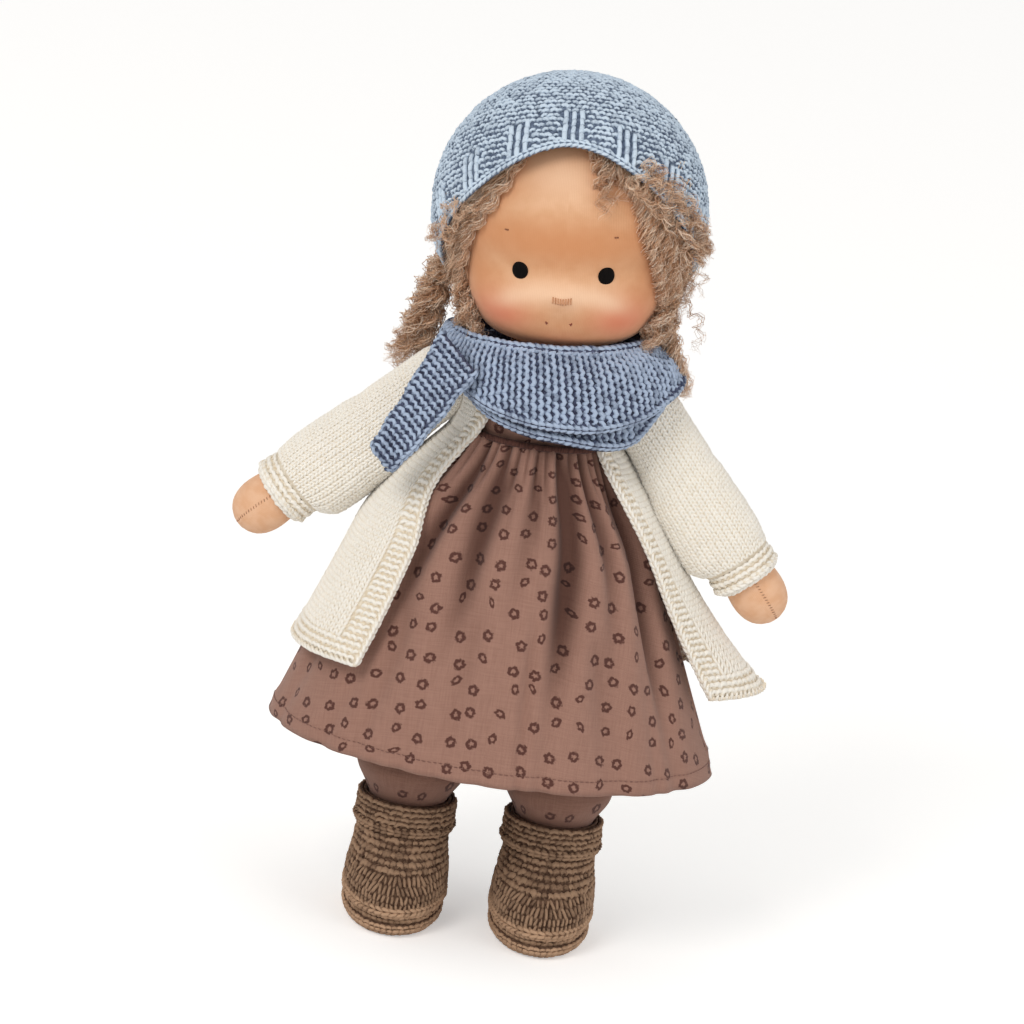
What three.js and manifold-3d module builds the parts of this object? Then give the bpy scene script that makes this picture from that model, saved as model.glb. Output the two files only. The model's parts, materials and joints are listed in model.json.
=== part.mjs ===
// Waldorf doll: a stuffed rag doll with a dress, trousers, an open cardigan, a scarf, a hat and boots.
// Millimetres, +Z up. The doll faces -Y, and left and right are the doll's own: its left is +X.
import * as THREE from "three";
import { mergeVertices } from "three/addons/utils/BufferGeometryUtils.js";
import Module from "manifold-3d";

const wasm = await Module();
wasm.setup();

// Driving dimensions.
const gap = 0.35; // clearance between two pieces that touch
const runningGap = 0.6; // clearance round a piece that turns
const overrun = 2; // how far a cutter passes the face it cuts

const hip = { height: 112, legSpacing: 51, seatRadius: 19, seatHalfWidth: 36, endHole: 6 };
const shoulder = { height: 188, halfSpan: 34.5, depth: 1 };
const waist = { belowShoulder: 13, halfWidth: 20 };
const neck = { aboveShoulder: 21, radius: 12, seatDepth: 12, tieThickness: 1.4 };
const head = {
  aboveNeck: 41, aside: 3.8, halfWidth: 36.5, halfDepth: 34.5, halfHeight: 41, jawShare: 0.42, skin: 1.4, lean: 5,
};
const face = {
  cheekFullness: 1.6, eyeLineDepth: 1.5, noseHeight: 1.7, eyeSpacing: 28.5, eyeDrop: 12.2, eyeRadius: 2.7,
  eyeFlatShare: 0.5,
};
// Where the eye line and the nose lie and how far they spread, as shares of the head's half sizes.
const eyeLineShares = { up: -0.31, spread: 0.12 };
const noseShares = { up: -0.49, spread: 0.09, across: 0.13 };
const hair = { thickness: 5, hairlineAngle: 46, napeAngle: 128 };
const lockShape = {
  sideRadius: 6.5, bushyRadius: 7.5, backRadius: 8, tipRadius: 3, bushyTipRadius: 4.8, sideSetBack: 24,
  backSpacing: 21, wave: 1.6, waves: 2.2,
};
const lockShares = { root: 0.55, growth: 3, spread: [1, 1.1, 1.2, 1.2] };
const hat = { radius: 47, drop: 2.5, wall: 2.6, frontAngle: 50, napeAngle: 127, setBack: 3 };
const torso = { chestHalfWidth: 23.5, hipHalfWidth: 27, neckHalfWidth: 15, depthShare: 0.8, aboveShoulder: 16 };
const bodice = { belowShoulder: 21, aboveShoulder: 8, wall: 1.4 };
const skirt = { hem: 66, wall: 1.3, hemHalfWidth: 75, hemHalfDepth: 55, bell: 15 };
// Where down the skirt its bell starts and is fullest, how deep it is, and how far the left arm presses it in.
const bellShares = { start: 0, full: 0.35, depth: 0.6, pressed: 0.6 };
const pleats = { count: 15, topDepth: 0.7, hemDepth: 3.4 };
const cardigan = {
  aboveShoulder: 10, hem: 98, wall: 2.4, ease: 2.1, flare: 23, backDrop: 4,
};
// Where the cardigan stands out, across its width from the left front edge to the right one, and how much.
const leftFlareShares = { middle: 0.113, spread: 0.1, height: 1 };
const rightFlareShares = { middle: 1, spread: 0.16, height: 0.25 };
// The cardigan's front edges move apart towards the hem, the left one further. In degrees from the front.
const cardiganOpening = { leftTopAngle: 50, leftHemAngle: 74, rightTopAngle: 38, rightHemAngle: 41 };
const scarf = {
  thickness: 4.2, neckHalfWidth: 34, neckHalfDepth: 29, halfWidth: 42, halfDepth: 35, setForward: 4,
};
const scarfSide = { shift: 5, cornerAngle: 48, cornerSpread: 26 }; // the scarf lies more to the doll's left
// The wraps' top and bottom edges and the tail's path are measured up from the shoulder.
const upperWrap = {
  top: 22.5, tilt: 2.5, backBottom: 11, frontBottom: 0, sideLift: 8, bulge: 1.5, inset: 0, cornerDrop: 0,
};
const lowerWrap = {
  top: 15.5, tilt: 2.5, backBottom: 6, frontBottom: -4.5, sideLift: 9, bulge: 0.6, inset: 4.4, cornerDrop: 6,
};
const tail = { width: 18, tipWidth: 11, thickness: 4, forwardTurn: 38, tiltTurn: 30 };
const tailPath = [[-29.1, -25.6, 16.7], [-34.1, -30, 7.4], [-41, -34, -6], [-49, -34.5, -20.5]];
const arm = { length: 86, rootRadius: 9.9, wristRadius: 9, handLength: 21, handFlatShare: 0.86 };
// Rows of the hand: along it, and of the wrist's radius.
const handShares = [[0.3, 0.94], [0.62, 0.76], [0.86, 0.48], [0.97, 0.2]];
const domeShares = [0.96, 0.8, 0.5, 0]; // rows of the round top of an arm and of a sleeve, up from the shoulder
const sleeve = { shortOfArm: 18.5, wall: 2.2, fullness: 1.8, cuffLength: 6.5, cuffWall: 2 };
const sleeveShares = [0.25, 0.5, 0.7, 0.88, 1]; // rows along the sleeve
const cuffWallShares = { end: 1.4, middle: 1.9, seam: 1.6 };
const bead = { radius: 3.5, holeRadius: 1.1 };
const abduction = { left: 40, right: 46 }; // how far each arm stands out from straight down, in degrees
const armReach = { raise: 50, lower: 5, swing: 45 }; // how far an arm moves from there, in degrees
const leg = { thighRadius: 15, kneeRadius: 15.2, ankleRadius: 11.6, ankleHeight: 30 };
const trousers = { wall: 1.2, hem: 31, seatWall: 1.6 };
const boot = { height: 42, wall: 2, soleThickness: 4.5, halfWidth: 18, heel: 18.5, toe: 35 };
const bootCuff = { height: 9.5, wall: 1.6 };

// Mesh fineness: how many faces each kind of piece has round it, and how many rows.
const faceCount = {
  body: 20, limb: 16, foot: 18, cloth: 60, head: 24, knob: 16, scarf: 32, ball: 12, lock: 8, thread: 6,
};
const rowCount = { head: 12, hat: 9, scarf: 4, skirt: 7, cardigan: 10, sleeve: 7, lock: 14, tail: 7 };

const colours = {
  skin: 0xe9b48c, thread: 0x2a1d18, wool: 0xf1e8d8, hairBrown: 0x9a7a62, hatBlue: 0x7f9cc0,
  scarfBlue: 0x7788b0, cream: 0xefe8da, print: 0x8f6d63, printDark: 0x7d5d54, bootBrown: 0x7c6350, bead: 0xc9a77a,
};

const scarfDiagonal = Math.SQRT1_2; // a sheet sloping at half a right angle is as thick across as down
const tau = Math.PI * 2;
const half = (length) => length / 2;
const waistHeight = shoulder.height - waist.belowShoulder;
const neckPivotHeight = shoulder.height + neck.aboveShoulder;
const torsoTop = shoulder.height + torso.aboveShoulder;
const bodiceTop = shoulder.height + bodice.aboveShoulder;
const bodiceHem = shoulder.height - bodice.belowShoulder;
const cardiganTop = shoulder.height + cardigan.aboveShoulder;
const radians = (degrees) => THREE.MathUtils.degToRad(degrees);
const mix = THREE.MathUtils.lerp;
const smooth = (value, low, high) => THREE.MathUtils.smoothstep(value, low, high);
const point = (x, y, z) => new THREE.Vector3(x, y, z);
const steps = (count) => Array.from({ length: count }, (_, i) => i);

// Geometry with its faces turned out, from corner points and triangles.
function closedGeometry(points, triangles) {
  let volume = 0;
  for (const [a, b, c] of triangles) volume += points[a].dot(points[b].clone().cross(points[c]));
  const faces = volume < 0 ? triangles.map(([a, b, c]) => [a, c, b]) : triangles;
  const geometry = new THREE.BufferGeometry().setFromPoints(points);
  geometry.setIndex(faces.flat());
  return geometry;
}

// A closed body through rings of equal count, each end closed to a tip point.
function ringBody(rings, firstTip, lastTip) {
  const n = rings[0].length;
  const points = [...rings.flat(), firstTip, lastTip];
  const first = points.length - 2;
  const triangles = [];
  for (let r = 0; r + 1 < rings.length; r++) {
    for (let i = 0; i < n; i++) {
      const a = r * n + i;
      const b = r * n + ((i + 1) % n);
      triangles.push([a, b, b + n], [a, b + n, a + n]);
    }
  }
  const lastRing = (rings.length - 1) * n;
  for (let i = 0; i < n; i++) {
    const next = (i + 1) % n;
    triangles.push([first, next, i], [first + 1, lastRing + i, lastRing + next]);
  }
  return closedGeometry(points, triangles);
}

// A sheet with a real thickness between two faces, each given as face(u, v).
// With wrap it closes on itself along u.
function thickSheet(outer, inner, uSteps, vSteps, wrap) {
  const columns = wrap ? uSteps : uSteps + 1;
  const rows = vSteps + 1;
  const points = [];
  for (const faceAt of [outer, inner]) {
    for (let j = 0; j < rows; j++) {
      for (let i = 0; i < columns; i++) points.push(faceAt(i / uSteps, j / vSteps));
    }
  }
  const at = (side, i, j) => side * columns * rows + j * columns + (i % columns);
  const triangles = [];
  const quad = (a, b, c, d) => triangles.push([a, b, c], [a, c, d]);
  for (let i = 0; i < uSteps; i++) {
    for (let j = 0; j < vSteps; j++) {
      quad(at(0, i, j), at(0, i + 1, j), at(0, i + 1, j + 1), at(0, i, j + 1));
      quad(at(1, i, j), at(1, i, j + 1), at(1, i + 1, j + 1), at(1, i + 1, j));
    }
    quad(at(0, i + 1, 0), at(0, i, 0), at(1, i, 0), at(1, i + 1, 0));
    quad(at(0, i, vSteps), at(0, i + 1, vSteps), at(1, i + 1, vSteps), at(1, i, vSteps));
  }
  if (!wrap) {
    for (let j = 0; j < vSteps; j++) {
      quad(at(0, 0, j), at(0, 0, j + 1), at(1, 0, j + 1), at(1, 0, j));
      quad(at(0, uSteps, j + 1), at(0, uSteps, j), at(1, uSteps, j), at(1, uSteps, j + 1));
    }
  }
  return closedGeometry(points, triangles);
}

// An oval ring of points at one height.
function ovalRing(count, halfWidth, halfDepth, z, x = 0, y = 0) {
  return steps(count).map((i) => {
    const turn = (i / count) * tau;
    return point(x + halfWidth * Math.sin(turn), y - halfDepth * Math.cos(turn), z);
  });
}

// A body through oval sections, each written [height, half width, half depth].
function ovalBody(sections, count) {
  const rings = sections.map(([z, halfWidth, halfDepth]) => ovalRing(count, halfWidth, halfDepth, z));
  return ringBody(rings, point(0, 0, sections[0][0]), point(0, 0, sections.at(-1)[0]));
}

function asSolid(geometry) {
  const bare = geometry.clone();
  bare.deleteAttribute("normal");
  bare.deleteAttribute("uv");
  const merged = mergeVertices(bare);
  const triVerts = new Uint32Array(merged.index.array);
  return new wasm.Manifold(
    new wasm.Mesh({ numProp: 3, vertProperties: merged.attributes.position.array, triVerts }),
  );
}

function asGeometry(solid) {
  const { vertProperties, triVerts } = solid.getMesh();
  return new THREE.BufferGeometry()
    .setAttribute("position", new THREE.BufferAttribute(new Float32Array(vertProperties), 3))
    .setIndex(new THREE.BufferAttribute(triVerts, 1));
}

// The first geometry with all the others cut from it.
function cut(geometry, ...cutters) {
  let solid = asSolid(geometry);
  for (const cutter of cutters) solid = solid.subtract(asSolid(cutter));
  return asGeometry(solid);
}

const ball = (radius, x, y, z, faces = faceCount.body) =>
  new THREE.SphereGeometry(radius, faces, half(faces)).translate(x, y, z);
const barrelAcross = (radius, length, faces = faceCount.body) =>
  new THREE.CylinderGeometry(radius, radius, length, faces).rotateZ(half(Math.PI)).translate(0, 0, hip.height);

const materialFor = (color, roughness = 0.95) => new THREE.MeshStandardMaterial({ color, roughness, metalness: 0 });

function piece(name, geometry, color) {
  const mesh = new THREE.Mesh(geometry, materialFor(color));
  mesh.name = name;
  return mesh;
}

function groupOf(...children) {
  const group = new THREE.Group();
  group.add(...children);
  return group;
}

// Torso: its half width and half depth at a height, from the hip crease to the neck.
const torsoWidths = [
  [hip.height, torso.hipHalfWidth],
  [mix(hip.height, waistHeight, 0.4), torso.hipHalfWidth],
  [waistHeight, waist.halfWidth],
  [shoulder.height, torso.chestHalfWidth],
  [mix(shoulder.height, torsoTop, 0.6), mix(torso.chestHalfWidth, torso.neckHalfWidth, 0.35)],
  [torsoTop, torso.neckHalfWidth],
];

function between(table, z) {
  const after = table.findIndex(([height]) => height >= z);
  if (after === 0) return table[0][1];
  if (after < 0) return table.at(-1)[1];
  const [low, lowValue] = table[after - 1];
  const [high, highValue] = table[after];
  return mix(lowValue, highValue, (z - low) / (high - low));
}

const torsoHalfWidth = (z) => between(torsoWidths, z);
const torsoHalfDepth = (z) => torsoHalfWidth(z) * torso.depthShare;
const armPivot = (side) => point(side * shoulder.halfSpan, shoulder.depth, shoulder.height);
const sleeveRootRadius = arm.rootRadius + gap + sleeve.wall;
const shoulderBall = (side, clearance) =>
  ball(sleeveRootRadius + clearance, side * shoulder.halfSpan, shoulder.depth, shoulder.height, faceCount.knob);
const seatOuterRadius = hip.seatRadius + gap + trousers.seatWall;

// Room for the root of a sleeve: the shoulder ball and the first stretch of the sleeve, where a pose holds it.
function armRoom(side, pose) {
  const radius = sleeveRootRadius + runningGap;
  const stretch = radius * 2;
  const tube = new THREE.CylinderGeometry(radius, radius, stretch, faceCount.knob)
    .rotateX(half(Math.PI))
    .translate(0, 0, -half(stretch))
    .rotateY(-side.sign * radians(abduction[side.name] + pose.raise))
    .rotateX(-radians(pose.swing))
    .translate(side.sign * shoulder.halfSpan, shoulder.depth, shoulder.height);
  return [shoulderBall(side.sign, runningGap), tube];
}
const left = { name: "left", sign: 1 };
const right = { name: "right", sign: -1 };
const atRest = { raise: 0, swing: 0 };
const raised = { raise: armReach.raise, swing: 0 };
const lowered = { raise: -armReach.lower, swing: 0 };
const swung = { raise: 0, swing: armReach.swing };
const armRooms = (...poses) => poses.flatMap((pose) => [...armRoom(left, pose), ...armRoom(right, pose)]);

function makeTorso() {
  const sections = torsoWidths.map(([z]) => [z, torsoHalfWidth(z), torsoHalfDepth(z)]);
  const neckSeat = new THREE.CylinderGeometry(
    neck.radius + runningGap, neck.radius + runningGap, neck.seatDepth + overrun, faceCount.body,
  ).rotateX(half(Math.PI)).translate(0, 0, neckPivotHeight - half(neck.seatDepth) + half(overrun));
  const body = cut(
    ovalBody(sections, faceCount.body),
    barrelAcross(seatOuterRadius + runningGap, torso.hipHalfWidth * 3),
    neckSeat,
    ...armRooms(atRest),
  );
  return piece("torso", body, colours.skin);
}

// Neck stub: a stuffed plug in the torso with a round top that the head turns and nods on.
function makeNeck() {
  const foot = neckPivotHeight - neck.seatDepth + gap;
  const profile = [new THREE.Vector2(0, foot), new THREE.Vector2(neck.radius, foot)];
  const arcSteps = 6;
  for (const i of steps(arcSteps)) {
    const turn = (i / arcSteps) * half(Math.PI);
    const z = neckPivotHeight + neck.radius * Math.sin(turn);
    profile.push(new THREE.Vector2(neck.radius * Math.cos(turn), z));
  }
  profile.push(new THREE.Vector2(0, neckPivotHeight + neck.radius));
  return piece("neck", new THREE.LatheGeometry(profile, faceCount.body).rotateX(half(Math.PI)), colours.skin);
}

function makeNeckTie() {
  const tube = half(neck.tieThickness);
  const ring = new THREE.TorusGeometry(neck.radius + tube + gap, tube, faceCount.thread, faceCount.body)
    .translate(0, 0, torsoTop + tube + gap);
  return piece("neck_tie", ring, colours.wool);
}

// Head surface, as a direction from the head's centre: turn 0 faces forward, and drop is measured from the crown.
function headPoint(turn, drop, outward = 0) {
  const up = Math.cos(drop);
  const jaw = smooth(-up, 0, 0.6) * smooth(Math.cos(turn), -0.7, 0.2);
  const girth = Math.sin(drop) ** mix(1, head.jawShare, jaw);
  const front = Math.max(0, Math.cos(turn)) * girth;
  const across = Math.sin(turn) * girth;
  const cheekLine = smooth(-up, 0.2, 0.6) * (1 - smooth(-up, 0.62, 0.95));
  const cheek = face.cheekFullness * smooth(front, 0.2, 0.8) * cheekLine;
  const fromEyeLine = (up - eyeLineShares.up) / eyeLineShares.spread;
  const eyeLine = face.eyeLineDepth * smooth(front, 0.3, 0.9) * Math.exp(-(fromEyeLine ** 2));
  const fromNose = Math.hypot((up - noseShares.up) / noseShares.spread, across / noseShares.across);
  const nose = face.noseHeight * Math.exp(-(fromNose ** 2)) * smooth(front, 0.5, 0.8);
  const swell = outward + cheek - eyeLine + nose;
  return point(
    (head.halfWidth + swell) * across,
    -(head.halfDepth + swell) * Math.cos(turn) * girth,
    (head.halfHeight + outward) * up,
  );
}

function headBody(outward) {
  const rows = rowCount.head;
  const rings = steps(rows - 1).map((j) => {
    const drop = ((j + 1) / rows) * Math.PI;
    return steps(faceCount.head).map((i) => headPoint((i / faceCount.head) * tau, drop, outward));
  });
  return ringBody(rings, headPoint(0, 0, outward), headPoint(0, Math.PI, outward));
}

// A bowl over the head between two faces, from the crown down to a rim whose drop follows the turn.
function bowl(outerAt, innerAt, rimDrop, aroundFaces, rows) {
  const ringsOf = (faceAt) =>
    steps(rows).map((j) =>
      steps(aroundFaces).map((i) => {
        const turn = (i / aroundFaces) * tau;
        return faceAt(turn, ((j + 1) / rows) * rimDrop(turn));
      }),
    );
  return ringBody([...ringsOf(outerAt), ...ringsOf(innerAt).reverse()], outerAt(0, 0), innerAt(0, 0));
}

// Drop of a rim that is high over the forehead and low at the sides and the nape.
const rimDropBetween = (frontAngle, napeAngle) => (turn) => {
  const toBack = half(1 - Math.cos(turn));
  const share = Math.sin(half(Math.PI) * Math.min(1, toBack * 1.4));
  return radians(mix(frontAngle, napeAngle, share));
};

// The head hangs from the neck pivot, so its own centre is given from there.
const headCentre = point(head.aside, 0, head.aboveNeck);

function neckSocket() {
  return ball(neck.radius + runningGap, -headCentre.x, 0, -headCentre.z);
}

function hatPoint(turn, drop, outward) {
  const radius = hat.radius + outward;
  return point(
    radius * Math.sin(turn) * Math.sin(drop),
    hat.setBack - radius * Math.cos(turn) * Math.sin(drop),
    hat.drop + radius * Math.cos(drop),
  );
}

function makeEye(name, side) {
  const drop = Math.acos(-face.eyeDrop / head.halfHeight);
  const turn = side * Math.asin(half(face.eyeSpacing) / (head.halfWidth * Math.sin(drop)));
  const seat = headPoint(turn, drop);
  const dome = new THREE.SphereGeometry(face.eyeRadius, faceCount.ball, half(faceCount.ball))
    .scale(1, face.eyeFlatShare, 1)
    .rotateZ(turn)
    .translate(seat.x, seat.y, seat.z);
  return piece(name, cut(dome, headBody(gap)), colours.thread);
}

// One lock of hair: a tapering tube along a wavy path, with its two ends closed to a point.
function lock(path, rootRadius, tipRadius, wave, waves) {
  const curve = new THREE.CatmullRomCurve3(path);
  const rings = steps(rowCount.lock).map((j) => {
    const share = j / (rowCount.lock - 1);
    const centre = curve.getPointAt(share);
    const swing = share * waves * tau;
    const fullness = Math.min(1, lockShares.root + share * lockShares.growth);
    const radius = mix(rootRadius, tipRadius, share) * fullness;
    return steps(faceCount.lock).map((i) => {
      const turn = (i / faceCount.lock) * tau;
      return point(
        centre.x + wave * Math.sin(swing) + radius * Math.sin(turn),
        centre.y + wave * Math.cos(swing) - radius * Math.cos(turn),
        centre.z,
      );
    });
  });
  return ringBody(rings, path[0], path.at(-1));
}

const headPieces = () => {
  const skinInside = headBody(-head.skin);
  const woolBall = cut(headBody(-head.skin - gap), neckSocket());
  const skin = cut(headBody(0), skinInside, neckSocket());
  const hairOuter = (turn, drop) => headPoint(turn, drop, gap + hair.thickness);
  const hairInner = (turn, drop) => headPoint(turn, drop, gap * 2);
  const hairRim = rimDropBetween(hair.hairlineAngle, hair.napeAngle);
  const hairCap = bowl(hairOuter, hairInner, hairRim, faceCount.head, rowCount.hat);
  const hatBowl = (grown) => bowl(
    (turn, drop) => hatPoint(turn, drop, grown),
    (turn, drop) => hatPoint(turn, drop, -hat.wall - grown),
    rimDropBetween(hat.frontAngle, hat.napeAngle), faceCount.head, rowCount.hat,
  );
  const hatShell = hatBowl(0);
  const hatRoom = hatBowl(gap);
  return [
    piece("head_skin", skin, colours.skin),
    piece("head_wool_ball", woolBall, colours.wool),
    makeEye("left_eye", 1),
    makeEye("right_eye", -1),
    piece("hair_cap", cut(hairCap, headBody(gap), hatRoom), colours.hairBrown),
    piece("hat", hatShell, colours.hatBlue),
    ...makeLocks(),
  ];
};

// Locks of hair fall from under the hat, outside the scarf.
function makeLocks() {
  const { sideRadius, backRadius, tipRadius, sideSetBack, backSpacing, wave, waves } = lockShape;
  const rootHeight = -half(head.halfHeight);
  const tipHeight = overrun - head.aboveNeck - neck.aboveShoulder;
  const outside = scarf.halfWidth + tipRadius;
  const behind = scarf.halfDepth - scarf.setForward + backRadius;
  const sideLock = (side, tipLift) => [
    point(side * (head.halfWidth + sideRadius), sideRadius, rootHeight + sideRadius),
    point(side * (outside + wave), half(sideSetBack), rootHeight - sideRadius),
    point(side * (outside - wave), sideSetBack - wave, tipHeight + tipLift + sideRadius * 2),
    point(side * (outside - wave), sideSetBack, tipHeight + tipLift),
  ];
  const backLock = (x) => [
    point(x * lockShares.spread[0], head.halfDepth + half(backRadius), rootHeight),
    point(x * lockShares.spread[1], behind + half(backRadius), rootHeight - backRadius),
    point(x * lockShares.spread[2], behind + backRadius, tipHeight),
    point(x * lockShares.spread[3], behind + backRadius, tipHeight - backRadius - half(backRadius)),
  ];
  const underHat = ball(hat.radius + gap * 3, 0, hat.setBack, hat.drop, faceCount.head);
  const hang = (name, path, rootRadius, endRadius) =>
    piece(name, cut(lock(path, rootRadius, endRadius, wave, waves), underHat), colours.hairBrown);
  return [
    hang("hair_left_lock", sideLock(1, sideRadius), sideRadius, tipRadius),
    hang("hair_right_lock", sideLock(-1, 0), lockShape.bushyRadius, lockShape.bushyTipRadius),
    ...steps(3).map((i) =>
      hang(`hair_back_lock_${i + 1}`, backLock((i - 1) * backSpacing), backRadius, tipRadius)),
  ];
}

function makeHead() {
  const atCentre = groupOf(...headPieces());
  atCentre.position.copy(headCentre);
  const atPivot = groupOf(atCentre);
  atPivot.position.set(0, 0, neckPivotHeight);
  atPivot.rotation.y = radians(-head.lean);
  return atPivot;
}

// Seat of the body: a stuffed roll across the hips that the torso folds on, in the seat of the trousers.
function rollProfile(radius, halfWidth, rounding) {
  return [
    new THREE.Vector2(radius - rounding, -halfWidth),
    new THREE.Vector2(radius, -halfWidth + rounding),
    new THREE.Vector2(radius, halfWidth - rounding),
    new THREE.Vector2(radius - rounding, halfWidth),
  ];
}

function acrossHips(profile) {
  return new THREE.LatheGeometry(profile, faceCount.body).rotateZ(half(-Math.PI)).translate(0, 0, hip.height);
}

function makeSeat() {
  const rounding = half(hip.seatRadius);
  const onAxis = (x) => new THREE.Vector2(0, x);
  const stuffed = rollProfile(hip.seatRadius, hip.seatHalfWidth, rounding);
  const roll = acrossHips([onAxis(-hip.seatHalfWidth), ...stuffed, onAxis(hip.seatHalfWidth)]);
  const outerHalfWidth = hip.seatHalfWidth + gap + trousers.seatWall;
  const outer = rollProfile(seatOuterRadius, outerHalfWidth, rounding);
  const inner = rollProfile(hip.seatRadius + gap, hip.seatHalfWidth + gap, rounding).reverse();
  const closing = outer[0].clone();
  const hole = (halfWidth) => new THREE.Vector2(hip.endHole, halfWidth);
  const shell = acrossHips([
    hole(-outerHalfWidth), closing, ...outer.slice(1), hole(outerHalfWidth),
    hole(hip.seatHalfWidth + gap), ...inner, hole(-hip.seatHalfWidth - gap), hole(-outerHalfWidth),
  ]);
  return groupOf(piece("seat", roll, colours.skin), piece("trouser_seat", shell, colours.printDark));
}

// Leg, trouser leg and boot stand on one upright line through the foot.
const legRadii = [
  [boot.soleThickness + boot.wall, leg.ankleRadius],
  [leg.ankleHeight, leg.ankleRadius],
  [boot.height, leg.ankleRadius],
  [mix(boot.height, hip.height, 0.16), leg.kneeRadius],
  [mix(boot.height, hip.height, 0.7), leg.kneeRadius],
  [hip.height, leg.thighRadius],
];
const legRadius = (z) => between(legRadii, z);

// Plan outline of a foot, up from the sole to the shaft's rim: shares of the half width, heel reach and toe reach.
const footShares = [
  { up: 0, width: 0.92, heel: 0.92, toe: 0.88 },
  { up: 0.09, width: 1, heel: 1, toe: 1 },
  { up: 0.26, width: 1, heel: 0.99, toe: 0.99 },
  { up: 0.42, width: 0.96, heel: 0.94, toe: 0.78 },
  { up: 0.58, width: 0.91, heel: 0.9, toe: 0.56 },
  { up: 0.76, width: 0.87, heel: 0.86, toe: 0.46 },
  { up: 1, width: 0.89, heel: 0.88, toe: 0.47 },
];
const sole = footShares[0];
const foot = footShares.slice(1, -2);
const shaft = footShares.at(-1);
const cuffLow = footShares.at(-2);

function footRing(up, z, inset) {
  const shareOf = (reach) => between(footShares.map((share) => [share.up, share[reach]]), up);
  const halfWidth = boot.halfWidth * shareOf("width") - inset;
  const heel = boot.heel * shareOf("heel") - inset;
  const toe = boot.toe * shareOf("toe") - inset;
  return steps(faceCount.foot).map((i) => {
    const turn = (i / faceCount.foot) * tau;
    const reach = Math.cos(turn) > 0 ? toe : heel;
    return point(halfWidth * Math.sin(turn), -reach * Math.cos(turn), z);
  });
}

// A tube of cloth through foot outlines, between two insets.
function footTube(rows, heightAt, outerInset, innerInset) {
  const faceAt = (inset) => (u, v) => {
    const share = rows[Math.round(v * (rows.length - 1))];
    const ring = footRing(share.up, heightAt(share), inset);
    return ring[Math.round(u * ring.length) % ring.length];
  };
  return thickSheet(faceAt(outerInset), faceAt(innerInset), faceCount.foot, rows.length - 1, true);
}

function makeBoot(side, x) {
  const upperLow = boot.soleThickness + gap;
  const upper = footTube(footShares, (share) => mix(upperLow, boot.height, share.up), 0, boot.wall);
  const soleRings = [
    footRing(sole.up, 0, half(boot.wall)),
    footRing(foot[0].up, half(boot.soleThickness), 0),
    footRing(foot[0].up, boot.soleThickness, 0),
  ];
  const underFoot = ringBody(soleRings, point(0, 0, 0), point(0, 0, boot.soleThickness));
  const cuffHeight = (share) => (share === shaft ? boot.height : boot.height - bootCuff.height);
  const turned = footTube([cuffLow, shaft], cuffHeight, -gap - bootCuff.wall, -gap);
  const parts = groupOf(
    piece(`${side}_boot`, upper, colours.bootBrown),
    piece(`${side}_boot_sole`, underFoot, colours.bootBrown),
    piece(`${side}_boot_cuff`, turned, colours.bootBrown),
  );
  parts.position.x = x;
  return parts;
}

function makeLeg(side, x) {
  const seatCut = barrelAcross(seatOuterRadius + gap, leg.thighRadius * 4);
  const legRings = legRadii.map(([z, radius]) => ovalRing(faceCount.limb, radius, radius, z));
  const footLow = boot.soleThickness + gap;
  const footHeight = (share) => Math.max(mix(boot.soleThickness, boot.height, share.up), footLow);
  const footRings = foot.map((share) => footRing(share.up, footHeight(share), boot.wall + gap));
  const footTips = [foot[0], foot.at(-1)].map((share) => point(0, 0, footHeight(share)));
  const stuffedFoot = ringBody(footRings, ...footTips);
  const column = ringBody(legRings, point(0, 0, legRings[0][0].z), point(0, 0, hip.height));
  const stuffed = asGeometry(asSolid(column).add(asSolid(stuffedFoot)).subtract(asSolid(seatCut)));
  const clothHeights = legRadii.slice(1);
  const clothAt = (outward) => (u, v) => {
    const z = mix(trousers.hem, hip.height, v);
    const turn = u * tau;
    const radius = between(clothHeights, z) + outward;
    return point(radius * Math.sin(turn), -radius * Math.cos(turn), z);
  };
  const cloth = thickSheet(clothAt(gap + trousers.wall), clothAt(gap), faceCount.limb, rowCount.sleeve, true);
  const parts = groupOf(
    piece(`${side}_leg`, stuffed, colours.skin),
    piece(`${side}_trouser_leg`, cut(cloth, seatCut), colours.print),
  );
  parts.position.x = x;
  return groupOf(parts, makeBoot(side, x));
}

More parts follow.
